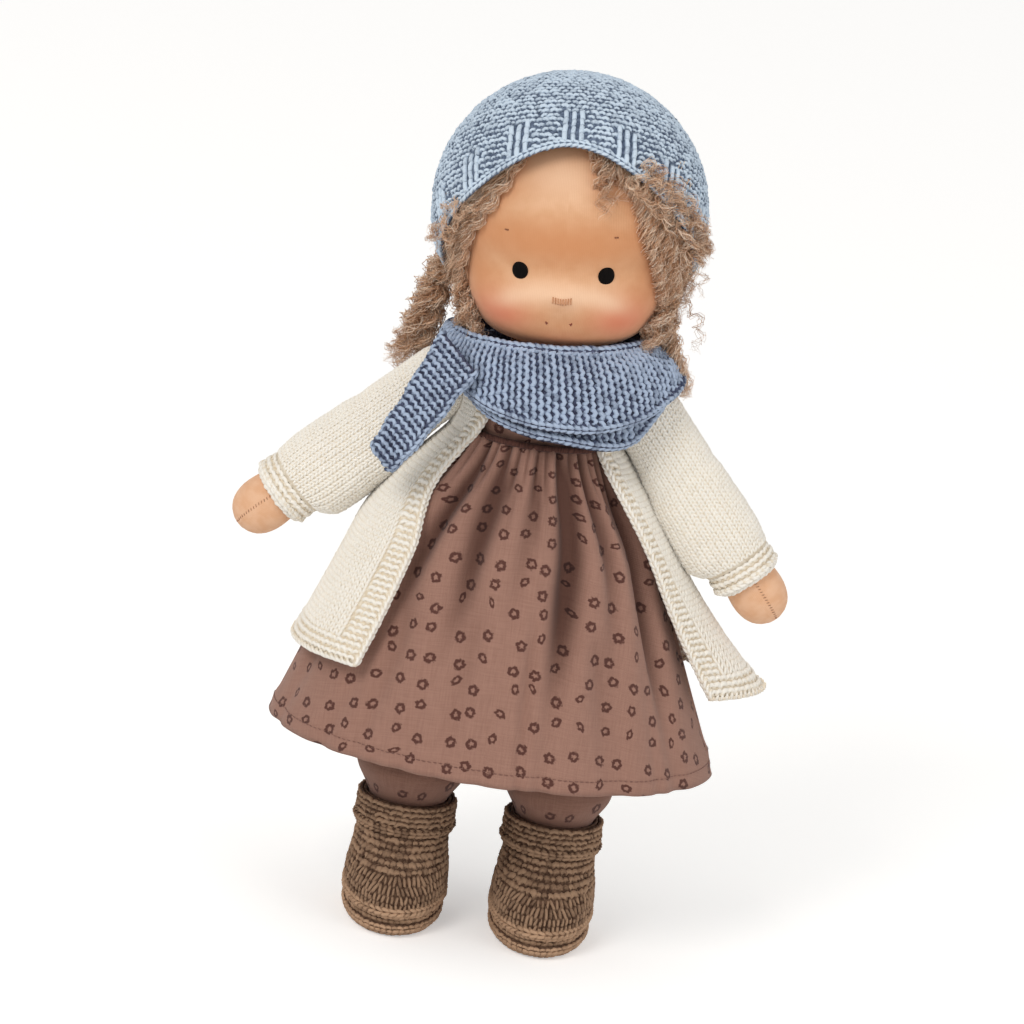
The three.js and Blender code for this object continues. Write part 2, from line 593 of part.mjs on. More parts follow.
// Arm, sleeve and cuff hang straight down from the shoulder pivot, and the group stands them out to the side.
function makeArm(side, sign) {
  const straight = arm.length - arm.handLength;
  const root = arm.rootRadius;
  const wrist = arm.wristRadius;
  const rings = [
    ...domeShares.map((rise) => [root * rise, root * Math.sqrt(1 - rise * rise)]),
    [-straight * 0.6, mix(root, wrist, 0.8)],
    [-straight, wrist],
    ...handShares.map(([along, radius]) => [-straight - arm.handLength * along, wrist * radius]),
  ].map(([z, radius]) => {
    const flat = mix(1, arm.handFlatShare, smooth(-z, straight, arm.length));
    return ovalRing(faceCount.limb, radius, radius * flat, z);
  });
  const beadSeat = ball(bead.radius + gap, 0, 0, 0, faceCount.ball);
  const threadWay = new THREE.CylinderGeometry(bead.holeRadius, bead.holeRadius, root + overrun, faceCount.lock)
    .rotateX(half(Math.PI))
    .translate(0, 0, half(root + overrun));
  const stuffed = cut(ringBody(rings, point(0, 0, root), point(0, 0, -arm.length)), beadSeat, threadWay);

  const cuffEnd = arm.length - sleeve.shortOfArm;
  const knitEnd = cuffEnd - sleeve.cuffLength;
  const drawnIn = (z) => 1 - half(smooth(z, knitEnd * 0.85, knitEnd));
  const swell = (z) => sleeve.fullness * smooth(z, root, knitEnd * 0.8) * drawnIn(z);
  const sleeveRings = (outward, withSwell) => [
    ...domeShares.map((rise) => {
      const radius = root + outward;
      return [radius * rise, radius * Math.sqrt(1 - rise * rise)];
    }),
    ...sleeveShares.map((along) => {
      const z = knitEnd * along;
      const inside = mix(root, wrist, smooth(z, 0, straight)) + outward;
      return [-z, inside + (withSwell ? swell(z) : 0)];
    }),
  ].map(([z, radius]) => ovalRing(faceCount.limb, radius, radius, z));
  const outside = sleeveRings(gap + sleeve.wall, true);
  const inside = sleeveRings(gap, false).reverse();
  const domeTips = [root + gap + sleeve.wall, root + gap].map((z) => point(0, 0, z));
  const knit = ringBody([...outside, ...inside], ...domeTips);
  const cuffInner = wrist + gap * 2;
  const cuffProfile = [
    [cuffInner, -knitEnd - gap],
    [cuffInner, -cuffEnd],
    [cuffInner + sleeve.cuffWall * cuffWallShares.end, -cuffEnd],
    [cuffInner + sleeve.cuffWall * cuffWallShares.middle, -mix(knitEnd, cuffEnd, 0.5)],
    [cuffInner + sleeve.cuffWall * cuffWallShares.seam, -knitEnd - gap],
    [cuffInner, -knitEnd - gap],
  ].map(([radius, z]) => new THREE.Vector2(radius, z));
  const cuff = new THREE.LatheGeometry(cuffProfile, faceCount.limb).rotateX(half(Math.PI));

  const group = groupOf(
    piece(`${side}_arm`, stuffed, colours.skin),
    piece(`${side}_shoulder_bead`, ball(bead.radius, 0, 0, 0, faceCount.ball), colours.bead),
    piece(`${side}_sleeve`, knit, colours.cream),
    piece(`${side}_sleeve_cuff`, cuff, colours.cream),
  );
  group.position.copy(armPivot(sign));
  group.rotation.y = -sign * radians(abduction[side]);
  return group;
}

// Cloth round the body, at one turn (0 in front, growing towards the doll's left) and height.
function ovalPoint(turn, halfWidth, halfDepth, z, y = 0) {
  return point(halfWidth * Math.sin(turn), y - halfDepth * Math.cos(turn), z);
}

function makeBodice() {
  const inside = torsoWidths.map(([z]) => z).filter((z) => z > bodiceHem && z < bodiceTop);
  const levels = [bodiceHem, ...inside, bodiceTop];
  const faceAt = (outward) => (u, v) => {
    const z = levels[Math.round(v * (levels.length - 1))];
    return ovalPoint(u * tau, torsoHalfWidth(z) + outward, torsoHalfDepth(z) + outward, z);
  };
  const cloth = thickSheet(faceAt(gap + bodice.wall), faceAt(gap), faceCount.body, levels.length - 1, true);
  return piece("dress_bodice", cut(cloth, ...armRooms(atRest)), colours.print);
}

// Skirt gathered at the waist: pleats that are shallow at the seam and deep at the hem.
const skirtTop = gap * 2 + bodice.wall + skirt.wall + pleats.topDepth;
const bell = (share) => skirt.bell * smooth(share, bellShares.start, bellShares.full) * (1 - share);
const skirtHalfWidth = (share, turn) => {
  const pressed = bellShares.pressed * Math.max(0, Math.sin(turn)) ** 4;
  return mix(waist.halfWidth + skirtTop, skirt.hemHalfWidth, share) + bell(share) * (1 - pressed);
};
const skirtHalfDepth = (share) =>
  mix(torsoHalfDepth(waistHeight) + skirtTop, skirt.hemHalfDepth, share ** 0.85) + bell(share) * bellShares.depth;

function skirtPoint(u, v, outward) {
  const turn = u * tau;
  const wave = Math.cos(pleats.count * turn + 1.3 * Math.sin(turn * 2));
  const fold = mix(pleats.topDepth, pleats.hemDepth, v) * wave;
  const z = mix(waistHeight, skirt.hem, v);
  return ovalPoint(turn, skirtHalfWidth(v, turn) + fold + outward, skirtHalfDepth(v) + fold + outward, z);
}

function makeSkirt() {
  const outer = (u, v) => skirtPoint(u, v, 0);
  const inner = (u, v) => skirtPoint(u, v, -skirt.wall);
  return piece("dress_skirt", thickSheet(outer, inner, faceCount.cloth, rowCount.skirt, true), colours.print);
}

// Cardigan body, open in front.
function cardiganPoint(u, v, outward) {
  const rightEdge = radians(mix(cardiganOpening.rightTopAngle, cardiganOpening.rightHemAngle, v));
  const leftEdge = radians(mix(cardiganOpening.leftTopAngle, cardiganOpening.leftHemAngle, v));
  const turn = mix(leftEdge, tau - rightEdge, u);
  const z = mix(cardiganTop, cardigan.hem, v) - cardigan.backDrop * v * half(1 - Math.cos(turn));
  const skirtShare = Math.max(0, (waistHeight - z) / (waistHeight - skirt.hem));
  const overSkirt = mix(pleats.topDepth, pleats.hemDepth, skirtShare) + gap * 3 + cardigan.wall;
  const overBodice = bodice.wall + cardigan.ease + cardigan.wall;
  const yoke = smooth(z, waistHeight, cardiganTop);
  const halfWidth = mix(skirtHalfWidth(skirtShare, turn) + overSkirt, torsoHalfWidth(z) + overBodice, yoke);
  const halfDepth = mix(skirtHalfDepth(skirtShare) + overSkirt, torsoHalfDepth(z) + overBodice, yoke);
  const near = (shares) => shares.height * Math.exp(-(((u - shares.middle) / shares.spread) ** 2));
  const flare = cardigan.flare * (near(leftFlareShares) + near(rightFlareShares)) * v ** 3;
  return ovalPoint(turn, halfWidth + flare + outward, halfDepth + half(flare) + outward, z);
}

function makeCardigan() {
  const outer = (u, v) => cardiganPoint(u, v, 0);
  const inner = (u, v) => cardiganPoint(u, v, -cardigan.wall);
  const cloth = thickSheet(outer, inner, half(faceCount.cloth), rowCount.cardigan, false);
  return piece("cardigan_body", cut(cloth, ...armRooms(atRest, lowered)), colours.cream);
}

// Scarf: a wide upper wrap over a lower wrap, both sloping down towards the front, and a free tail.
function scarfPoint(u, v, outward, wrap) {
  const turn = u * tau;
  const front = half(1 + Math.cos(turn));
  const lift = wrap.sideLift * Math.abs(Math.sin(turn)) ** 3;
  const fromCorner = (turn - radians(scarfSide.cornerAngle)) / radians(scarfSide.cornerSpread);
  const corner = wrap.cornerDrop * Math.exp(-(fromCorner ** 2));
  const bottom = mix(wrap.backBottom, wrap.frontBottom, front ** 1.2) + lift - corner;
  const bulge = wrap.bulge * Math.sin(Math.PI * v);
  const reach = bulge + outward - wrap.inset * mix(half(1), 1, v);
  const halfWidth = mix(scarf.neckHalfWidth, scarf.halfWidth, v) + reach;
  const halfDepth = mix(scarf.neckHalfDepth, scarf.halfDepth, v) + reach;
  const top = wrap.top + wrap.tilt * Math.sin(turn);
  const z = shoulder.height + mix(top, bottom, v ** 1.15) + bulge * 0.6;
  const onWrap = ovalPoint(turn, halfWidth, halfDepth, z, -scarf.setForward * v * front);
  return onWrap.setX(onWrap.x + scarfSide.shift * v);
}

function wrapCloth(wrap) {
  const across = scarf.thickness * scarfDiagonal;
  const outer = (u, v) => scarfPoint(u, v, 0, wrap);
  const inner = (u, v) => {
    const below = scarfPoint(u, v, -across, wrap);
    return below.setZ(below.z - across);
  };
  const cloth = thickSheet(outer, inner, faceCount.scarf, rowCount.scarf, true);
  return cut(cloth, ...armRooms(atRest, raised, swung));
}

// Free end of the scarf: a tapering strip that hangs past the wraps, turned a little to the side.
function makeTail() {
  const path = new THREE.CatmullRomCurve3(tailPath.map(([x, y, rise]) => point(x, y, shoulder.height + rise)));
  const across = point(1, 0, 0)
    .applyAxisAngle(point(0, 1, 0), radians(tail.tiltTurn))
    .applyAxisAngle(point(0, 0, 1), -radians(tail.forwardTurn));
  const faceAt = (depth) => (u, v) => {
    const centre = path.getPointAt(v);
    const normal = path.getTangentAt(v).cross(across).normalize();
    const width = mix(tail.width, tail.tipWidth, v);
    return centre.addScaledVector(across, (u - half(1)) * width).addScaledVector(normal, depth);
  };
  const [front, back] = [half(tail.thickness), -half(tail.thickness)].map(faceAt);
  const cloth = thickSheet(front, back, rowCount.scarf, rowCount.tail, false);
  return piece("scarf_tail", cloth, colours.scarfBlue);
}

const makeScarf = () => [
  piece("scarf_upper_wrap", wrapCloth(upperWrap), colours.scarfBlue),
  piece("scarf_lower_wrap", wrapCloth(lowerWrap), colours.scarfBlue),
  makeTail(),
];

const doll = groupOf(
  makeTorso(), makeNeck(), makeNeckTie(), makeHead(), makeSeat(),
  makeLeg("left", half(hip.legSpacing)), makeLeg("right", -half(hip.legSpacing)),
  makeArm("left", 1), makeArm("right", -1),
  makeBodice(), makeSkirt(), makeCardigan(), ...makeScarf(),
);

// The origin is on the floor, under the middle of the doll's outline.
doll.updateMatrixWorld(true);
const outline = new THREE.Box3().setFromObject(doll, true);
const middle = outline.getCenter(point(0, 0, 0));
doll.position.set(-middle.x, -middle.y, -outline.min.z);

export default doll;
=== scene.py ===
"""Waldorf doll: the looks of a stuffed rag doll in knitted and sewn clothes. Metres, +Z up, face along -Y."""

import json
import math
from collections import namedtuple
from functools import partial

import bmesh
import bpy
import numpy as np
from mathutils import Matrix, Vector


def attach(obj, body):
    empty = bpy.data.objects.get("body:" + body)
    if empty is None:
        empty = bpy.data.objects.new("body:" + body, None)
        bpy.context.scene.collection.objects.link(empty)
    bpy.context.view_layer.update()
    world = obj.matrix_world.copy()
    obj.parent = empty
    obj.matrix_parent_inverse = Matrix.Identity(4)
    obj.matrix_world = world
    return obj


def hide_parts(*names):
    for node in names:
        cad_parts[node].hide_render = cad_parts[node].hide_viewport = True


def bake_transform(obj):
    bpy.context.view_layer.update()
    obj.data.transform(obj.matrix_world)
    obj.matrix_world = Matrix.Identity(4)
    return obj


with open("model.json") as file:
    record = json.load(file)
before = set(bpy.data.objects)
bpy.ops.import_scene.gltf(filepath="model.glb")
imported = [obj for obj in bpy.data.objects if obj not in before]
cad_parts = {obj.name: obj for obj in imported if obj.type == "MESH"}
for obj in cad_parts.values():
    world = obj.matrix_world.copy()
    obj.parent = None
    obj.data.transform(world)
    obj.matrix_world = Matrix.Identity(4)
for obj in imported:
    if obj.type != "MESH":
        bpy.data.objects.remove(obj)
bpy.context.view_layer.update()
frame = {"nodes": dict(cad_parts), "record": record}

MM = 0.001
TAU = math.tau
SEED = 7
YARN_CORNERS = 5  # sides of the outline that a yarn or a thread is swept from
STRAND_CORNERS = 3

# Sizes in millimetres, from the middle of the body on the floor, as the solids have them.
GAP = 0.35
HIP = {"height": 112, "leg_spacing": 51, "seat_radius": 19, "seat_half_width": 36}
SHOULDER = {"height": 188, "half_span": 34.5, "depth": 1}
WAIST = {"height": 175, "half_width": 20}
NECK = {"pivot": 209, "radius": 12}
HEAD = {"up": 41, "aside": 3.8, "half_width": 36.5, "half_depth": 34.5, "half_height": 41, "jaw": 0.42,
        "lean": 5}
FACE = {"cheeks": 1.6, "eye_line": 1.5, "nose": 1.9, "eye_spacing": 28.5, "eye_drop": 12.4, "eye_radius": 2.7}
HAT = {"radius": 47, "drop": 2.5, "front_angle": 50, "nape_angle": 127, "set_back": 3}
TORSO = {"chest": 23.5, "hips": 27, "neck": 15, "depth_share": 0.8, "top": 204}
BODICE = {"top": 196, "hem": 167, "wall": 1.4}
SKIRT = {"hem": 66, "wall": 1.3, "hem_half_width": 75, "hem_half_depth": 55, "bell": 15, "top_fold": 0.7,
         "hem_fold": 3.4}
CARDIGAN = {"top": 198, "hem": 98, "wall": 2.4, "ease": 2.1, "flare": 23, "back_drop": 4}
OPENING = {"left_top": 50, "left_hem": 74, "right_top": 38, "right_hem": 41}
SCARF = {"neck_width": 34, "neck_depth": 29, "half_width": 42, "half_depth": 35, "set_forward": 4, "shift": 5}
CORNER = {"angle": 48, "spread": 26}
UPPER_WRAP = {"top": 22.5, "tilt": 2.5, "back": 11, "front": 0, "lift": 8, "bulge": 1.5, "inset": 0,
              "corner": 0}
LOWER_WRAP = {"top": 15.5, "tilt": 2.5, "back": 6, "front": -4.5, "lift": 9, "bulge": 0.6, "inset": 4.4,
              "corner": 6}
TAIL = {"width": 18, "tip_width": 11, "forward_turn": 38, "tilt_turn": 30}
TAIL_PATH = [(-29.1, -25.6, 16.7), (-34.1, -30, 7.4), (-41, -34, -6), (-49, -34.5, -20.5)]
ARM = {"length": 86, "root_radius": 9.9, "wrist_radius": 9, "hand_length": 21, "hand_flat": 0.86}
SLEEVE = {"short_of_arm": 18.5, "wall": 2.2, "fullness": 1.8, "cuff_length": 6.5, "cuff_wall": 2}
ABDUCTION = {"left": 40, "right": 46}
LEG = {"thigh_radius": 15, "knee_radius": 15.2, "ankle_radius": 11.6, "ankle_height": 30}
TROUSERS = {"wall": 1.2, "hem": 31, "seat_wall": 1.6}
BOOT = {"height": 42, "wall": 2, "sole": 4.5, "half_width": 18, "heel": 18.5, "toe": 35}
BOOT_CUFF = {"height": 9.5, "wall": 1.6}
SOLE_ROW = 1.5
# The wraps' inner face lies this far in and this far down from the outer one.
SCARF_ACROSS = 4.2 * math.sqrt(0.5)
SLEEVE_SAG = {"left": 4.0, "right": 4.4}

# Turns in radians, and shares of a garment's width or length.
HAT_TILT = math.radians(38)
BOOT_RIDGE = 0.875
FRONT_BAND = 0.03
HEM_BAND = 0.07
FAN_OPENING = 0.27  # how far the skirt's pattern opens as a fan, for each turn round the body

# Where the pieces stand: the body's middle comes from the joint at the neck, and the rest is built on it.
pivots = {joint["name"]: Vector(joint["pos_m"]) for joint in frame["record"]["behaviour"]["joints"]}
body_middle = Vector((pivots["head_turn"].x, pivots["head_turn"].y, 0)) / MM
SIDES = {"left": 1, "right": -1}
in_body = Matrix.Translation(body_middle)
in_head = (
    in_body
    @ Matrix.Translation((0, 0, NECK["pivot"]))
    @ Matrix.Rotation(math.radians(-HEAD["lean"]), 4, "Y")
    @ Matrix.Translation((HEAD["aside"], 0, HEAD["up"]))
)
in_arm = {
    side: in_body
    @ Matrix.Translation((sign * SHOULDER["half_span"], SHOULDER["depth"], SHOULDER["height"]))
    @ Matrix.Rotation(math.radians(-sign * ABDUCTION[side]), 4, "Y")
    for side, sign in SIDES.items()
}
in_leg = {side: in_body @ Matrix.Translation((sign * HIP["leg_spacing"] / 2, 0, 0)) for side,
          sign in SIDES.items()}


# Small tools for numbers and curves.
def mix(low, high, share):
    return low + (high - low) * share


def smooth(value, low, high):
    share = np.clip((value - low) / (high - low), 0, 1)
    return share * share * (3 - 2 * share)


def hump(value, middle, spread):
    return np.exp(-(((value - middle) / spread) ** 2))


def stack(x, y, z):
    return np.stack(np.broadcast_arrays(x, y, z), axis=-1).astype(float)


def unit(vectors):
    return vectors / np.maximum(np.linalg.norm(vectors, axis=-1, keepdims=True), 1e-9)


def table_value(rows, z):
    """Value at a height in a table of (height, value) rows."""
    heights, values = zip(*rows)
    return np.interp(z, heights, values)


def distances(path):
    """How far along a path each of its points is."""
    return np.concatenate([[0], np.cumsum(np.linalg.norm(np.diff(path, axis=0), axis=1))])


def points_at(wanted, run, points):
    """Points between those of a path, at the wanted distances; run holds the distances of its own points."""
    return np.stack([np.interp(wanted, run, points[:, axis]) for axis in range(3)], axis=-1)


def smooth_path(points, count):
    """Evenly spaced points on a smooth curve through the given ones."""
    given = np.array(points, float)
    ends = np.vstack([2 * given[0] - given[1], given, 2 * given[-1] - given[-2]])
    curve = []
    for a, b, c, d in zip(ends, ends[1:], ends[2:], ends[3:]):
        for t in np.linspace(0, 1, 24, endpoint=False):
            curve.append(
                0.5 * (2 * b + (c - a) * t + (2 * a - 5 * b + 4 * c - d) * t**2
                       + (3 * b - a - 3 * c + d) * t**3)
            )
    curve.append(given[-1])
    curve = np.array(curve)
    run = distances(curve)
    return points_at(np.linspace(0, run[-1], count), run, curve)


def placed(points, place):
    """Points in millimetres in a piece's own frame, moved to where the piece stands, in metres."""
    flat = np.asarray(points, float).reshape(-1, 3)
    matrix = np.array(place)
    return (flat @ matrix[:3, :3].T + matrix[:3, 3]) * MM


def turned(vectors, place):
    flat = np.asarray(vectors, float).reshape(-1, 3)
    return flat @ np.array(place)[:3, :3].T


# Pieces from points and faces.
def link(obj):
    bpy.context.scene.collection.objects.link(obj)
    return obj


def store(mesh, values, kind="FLOAT", field="value"):
    """Keeps named values, one for each point, on a mesh."""
    for name, data in (values or {}).items():
        attribute = mesh.attributes.new(name, kind, "POINT")
        attribute.data.foreach_set(field, np.asarray(data, np.float32).ravel())


def make_piece(name, points, faces, place, material, corner_uvs=None, weights=None):
    """A closed mesh in its place. corner_uvs are flat cloth coordinates in metres, one a face corner."""
    mesh = bpy.data.meshes.new(name)
    mesh.from_pydata(placed(points, place).tolist(), [], [list(face) for face in faces])
    if corner_uvs is not None:
        layer = mesh.uv_layers.new(name="cloth")
        layer.data.foreach_set("uv", np.asarray(corner_uvs, np.float32).ravel())
    store(mesh, weights)
    turn_out(mesh)
    mesh.polygons.foreach_set("use_smooth", [True] * len(mesh.polygons))
    mesh.materials.append(material)
    return link(bpy.data.objects.new(name, mesh))


def turn_out(mesh):
    """Make every face look outwards, with the flat ends' triangles kept."""
    work = bmesh.new()
    work.from_mesh(mesh)
    bmesh.ops.recalc_face_normals(work, faces=work.faces)
    if work.calc_volume(signed=True) < 0:
        bmesh.ops.reverse_faces(work, faces=work.faces)
    work.to_mesh(mesh)
    work.free()
    mesh.update()


def grid_shares(u_count, v_count, wrap):
    columns = u_count if wrap else u_count + 1
    u, v = np.meshgrid(np.arange(columns) / u_count, np.arange(v_count + 1) / v_count)
    return u, v


def thick_sheet(name, outer, inner, u_count, v_count, wrap, place, material, flat=(0.1, 0.1), develop=None,
                painted_fold_shade=None):
    """A sheet of cloth with a real thickness between two faces, each given as face(u, v)."""
    u, v = grid_shares(u_count, v_count, wrap)
    outside, inside = outer(u, v), inner(u, v)
    rows, columns = u.shape
    points = np.concatenate([outside.reshape(-1, 3), inside.reshape(-1, 3)])
    faces, corners = [], []

    def at(side, i, j):
        return side * rows * columns + j * columns + (i % columns)

    def quad(*spots):
        faces.append([at(*spot) for spot in spots])
        corners.extend((i / u_count, j / v_count) for _, i, j in spots)

    for i in range(u_count):
        for j in range(v_count):
            quad((0, i, j), (0, i + 1, j), (0, i + 1, j + 1), (0, i, j + 1))
            quad((1, i, j), (1, i, j + 1), (1, i + 1, j + 1), (1, i + 1, j))
        quad((0, i + 1, 0), (0, i, 0), (1, i, 0), (1, i + 1, 0))
        quad((0, i, v_count), (0, i + 1, v_count), (1, i + 1, v_count), (1, i, v_count))
    if not wrap:
        for j in range(v_count):
            quad((0, 0, j), (0, 0, j + 1), (1, 0, j + 1), (1, 0, j))
            quad((0, u_count, j + 1), (0, u_count, j), (1, u_count, j), (1, u_count, j + 1))
    shares = np.array(corners)
    uvs = develop(shares[:, 0], shares[:, 1]) if develop else shares * np.array(flat)
    # painted_fold_shade, when given, stores painted shade for the folds on every point, under the name
    # valley.
    weights = {"valley": np.tile(painted_fold_shade(u, v).ravel(), 2)} if painted_fold_shade else None
    return make_piece(name, points, faces, place, material, uvs, weights)


def lofted(name, rings, place, material, weights=None, flat=None):
    """A closed body through rings of points, with a fan over each end. flat gives its cloth size."""
    rings = np.asarray(rings, float)
    count, sides = rings.shape[:2]
    points = np.concatenate([rings.reshape(-1, 3), [rings[0].mean(axis=0)], [rings[-1].mean(axis=0)]])
    faces, corners = [], []
    for j in range(count - 1):
        for i in range(sides):
            near = (i + 1) % sides
            faces.append((j * sides + i, j * sides + near, (j + 1) * sides + near, (j + 1) * sides + i))
            corners.extend([(i, j), (i + 1, j), (i + 1, j + 1), (i, j + 1)])
    last = (count - 1) * sides
    for i in range(sides):
        near = (i + 1) % sides
        faces.append((count * sides, near, i))
        corners.extend([(i + 0.5, 0), (i + 1, 0), (i, 0)])
        faces.append((count * sides + 1, last + i, last + near))
        corners.extend([(i + 0.5, count - 1), (i, count - 1), (i + 1, count - 1)])
    uvs = np.array(corners) / (sides, count - 1) * np.array(flat) if flat else None
    if weights:
        weights = {
            key: np.concatenate([values.ravel(), values[0, :1], values[-1, :1]])
            for key, values in weights.items()
        }
    return make_piece(name, points, faces, place, material, uvs, weights)


def looped(name, rings, place, material, flat=None):
    """A body through rings of points, the last ring joined to the first. flat gives its cloth size."""
    rings = np.asarray(rings, float)
    count, sides = rings.shape[:2]
    faces, corners = [], []
    for j in range(count):
        for i in range(sides):
            near, ahead = (i + 1) % sides, (j + 1) % count
            faces.append((j * sides + i, j * sides + near, ahead * sides + near, ahead * sides + i))
            corners.extend([(i, j), (i + 1, j), (i + 1, j + 1), (i, j + 1)])
    uvs = np.array(corners) / (sides, count) * np.array(flat) if flat else None
    return make_piece(name, rings.reshape(-1, 3), faces, place, material, uvs)


def around(count):
    """Evenly spaced turns, in radians."""
    return np.arange(count) / count * TAU


def round_row(face, v, count, outward=0.0):
    """One row of points right round a surface face(u, v, outward)."""
    return face(np.arange(count) / count, np.full(count, float(v)), outward)


def oval_point(turn, half_width, half_depth, z, y=0.0):
    return stack(half_width * np.sin(turn), y - half_depth * np.cos(turn), z)


def oval_ring(half_width, half_depth, z, count=48):
    return oval_point(around(count), half_width, half_depth, z)


def tube(name, path, radius, place, material, sides, closed=False):
    """A round thread or roll along a path of points."""
    path = np.asarray(path, float)
    following = np.roll(path, -1, axis=0) if closed else np.vstack([path[1:], path[-1:]])
    before = np.roll(path, 1, axis=0) if closed else np.vstack([path[:1], path[:-1]])
    along = unit(following - before)
    reference = np.array([0.0, 0, 1]) if abs(along[:, 2]).max() < 0.95 else np.array([0.0, 1, 0])
    side = unit(np.cross(along, reference))
    up = np.cross(side, along)
    turn = around(sides)
    rings = path[:, None] + radius * (
        np.cos(turn)[None, :, None] * side[:, None] + np.sin(turn)[None, :, None] * up[:, None]
    )
    make = looped if closed else lofted
    return make(name, rings, place, material)


def joined(name, pieces):
    """Several meshes with their materials as one piece."""
    work = bmesh.new()
    materials = []
    for piece in pieces:
        offset = len(work.faces)
        work.from_mesh(piece.data)
        work.faces.ensure_lookup_table()
        for face in work.faces[offset:]:
            material = piece.data.materials[face.material_index]
            if material not in materials:
                materials.append(material)
            face.material_index = materials.index(material)
    mesh = bpy.data.meshes.new(name)
    work.to_mesh(mesh)
    work.free()
    for material in materials:
        mesh.materials.append(material)
    for piece in pieces:
        bpy.data.objects.remove(piece)
    return link(bpy.data.objects.new(name, mesh))


# Geometry Nodes: what repeats along a row, a seam or a strand.
class Tree:
    """A node tree under construction, for geometry or for a shader group."""

    def __init__(self, name, kind="GeometryNodeTree"):
        self.tree = bpy.data.node_groups.new(name, kind)
        self.group_input = self.tree.nodes.new("NodeGroupInput")
        self.group_output = self.tree.nodes.new("NodeGroupOutput")

    def input(self, name, kind="NodeSocketFloat", default=None):
        socket = self.tree.interface.new_socket(name=name, in_out="INPUT", socket_type=kind)
        if default is not None:
            socket.default_value = default
        return self.group_input.outputs[name]

    def output(self, name, source, kind="NodeSocketFloat"):
        self.tree.interface.new_socket(name=name, in_out="OUTPUT", socket_type=kind)
        self.tree.links.new(source, self.group_output.inputs[name])

    def add(self, kind, inputs=None, **settings):
        return add_node(self.tree, kind, inputs, **settings)

    def out(self, kind, inputs=None, **settings):
        """A new node's first output."""
        return self.add(kind, inputs, **settings).outputs[0]

    def math(self, operation, *values):
        return self.out("ShaderNodeMath", dict(enumerate(values)), operation=operation)

    def times(self, *values):
        return self.math("MULTIPLY", *values)

    def plus(self, *values):
        return self.math("ADD", *values)

    def minus(self, *values):
        return self.math("SUBTRACT", *values)

    def over(self, *values):
        return self.math("DIVIDE", *values)

    def xyz(self, **values):
        return self.out("ShaderNodeCombineXYZ", values)

    def random(self, low, high, seed):
        return self.add("FunctionNodeRandomValue", {2: low, 3: high, "Seed": seed},
                        data_type="FLOAT").outputs[1]

    def named(self, name, kind="FLOAT"):
        return self.out("GeometryNodeInputNamedAttribute", {"Name": name}, data_type=kind)

    def kept(self, geometry, name, value, domain="POINT"):
        """The geometry with a named value stored on it."""
        inputs = {"Geometry": geometry, "Name": name, "Value": value}
        return self.out("GeometryNodeStoreNamedAttribute", inputs, data_type="FLOAT", domain=domain)

    def circle(self, thickness, corners):
        """The outline of a round yarn, thread or strand."""
        return self.out("GeometryNodeCurvePrimitiveCircle",
                        {"Resolution": corners, "Radius": self.times(thickness, 0.5)})

    def facing(self, up, along, twist):
        """A rotation with Z up and X along, then twisted by small angles of its own."""
        turn = self.out("FunctionNodeAxesToRotation", {"Primary Axis": up, "Secondary Axis": along},
                        primary_axis="Z", secondary_axis="X")
        return self.out("FunctionNodeRotateRotation", {
            "Rotation": turn, "Rotate By": self.out("FunctionNodeEulerToRotation", {0: twist}),
        }, rotation_space="LOCAL")

    def end_with(self, instances, material):
        """Ends a geometry tree: real meshes, smooth, with their material."""
        real = self.out("GeometryNodeRealizeInstances", {0: instances})
        rounded = self.out("GeometryNodeSetShadeSmooth", {0: real})
        done = self.out("GeometryNodeSetMaterial", {0: rounded, "Material": material})
        self.output("Geometry", done, "NodeSocketGeometry")
        return self.tree

    def vector(self, operation, *values):
        node = self.add("ShaderNodeVectorMath", dict(enumerate(values)), operation=operation)
        gives_number = operation in ("LENGTH", "DOT_PRODUCT", "DISTANCE")
        return node.outputs["Value" if gives_number else "Vector"]

    def scaled(self, vector, factor):
        return self.add("ShaderNodeVectorMath", {0: vector, "Scale": factor},
                        operation="SCALE").outputs["Vector"]


def add_node(tree, kind, inputs=None, **settings):
    node = tree.nodes.new(kind)
    for key, value in settings.items():
        setattr(node, key, value)
    for key, value in (inputs or {}).items():
        socket = node.inputs[key]
        if isinstance(value, bpy.types.NodeSocket):
            tree.links.new(value, socket)
        else:
            socket.default_value = value
    return node


def grown(source, tree, **values):
    """The mesh that a Geometry Nodes tree makes of an object, with the tree's inputs set by their names."""
    modifier = source.modifiers.new("grow", "NODES")
    modifier.node_group = tree
    for item in tree.interface.items_tree:
        if item.item_type == "SOCKET" and item.in_out == "INPUT" and item.name in values:
            modifier[item.identifier] = values.pop(item.name)
    assert not values, f"{tree.name} has no input {sorted(values)}"
    bpy.context.view_layer.update()
    depsgraph = bpy.context.evaluated_depsgraph_get()
    mesh = bpy.data.meshes.new_from_object(source.evaluated_get(depsgraph), depsgraph=depsgraph)
    source.modifiers.clear()
    source.data = mesh
    mesh.name = source.name
    return source


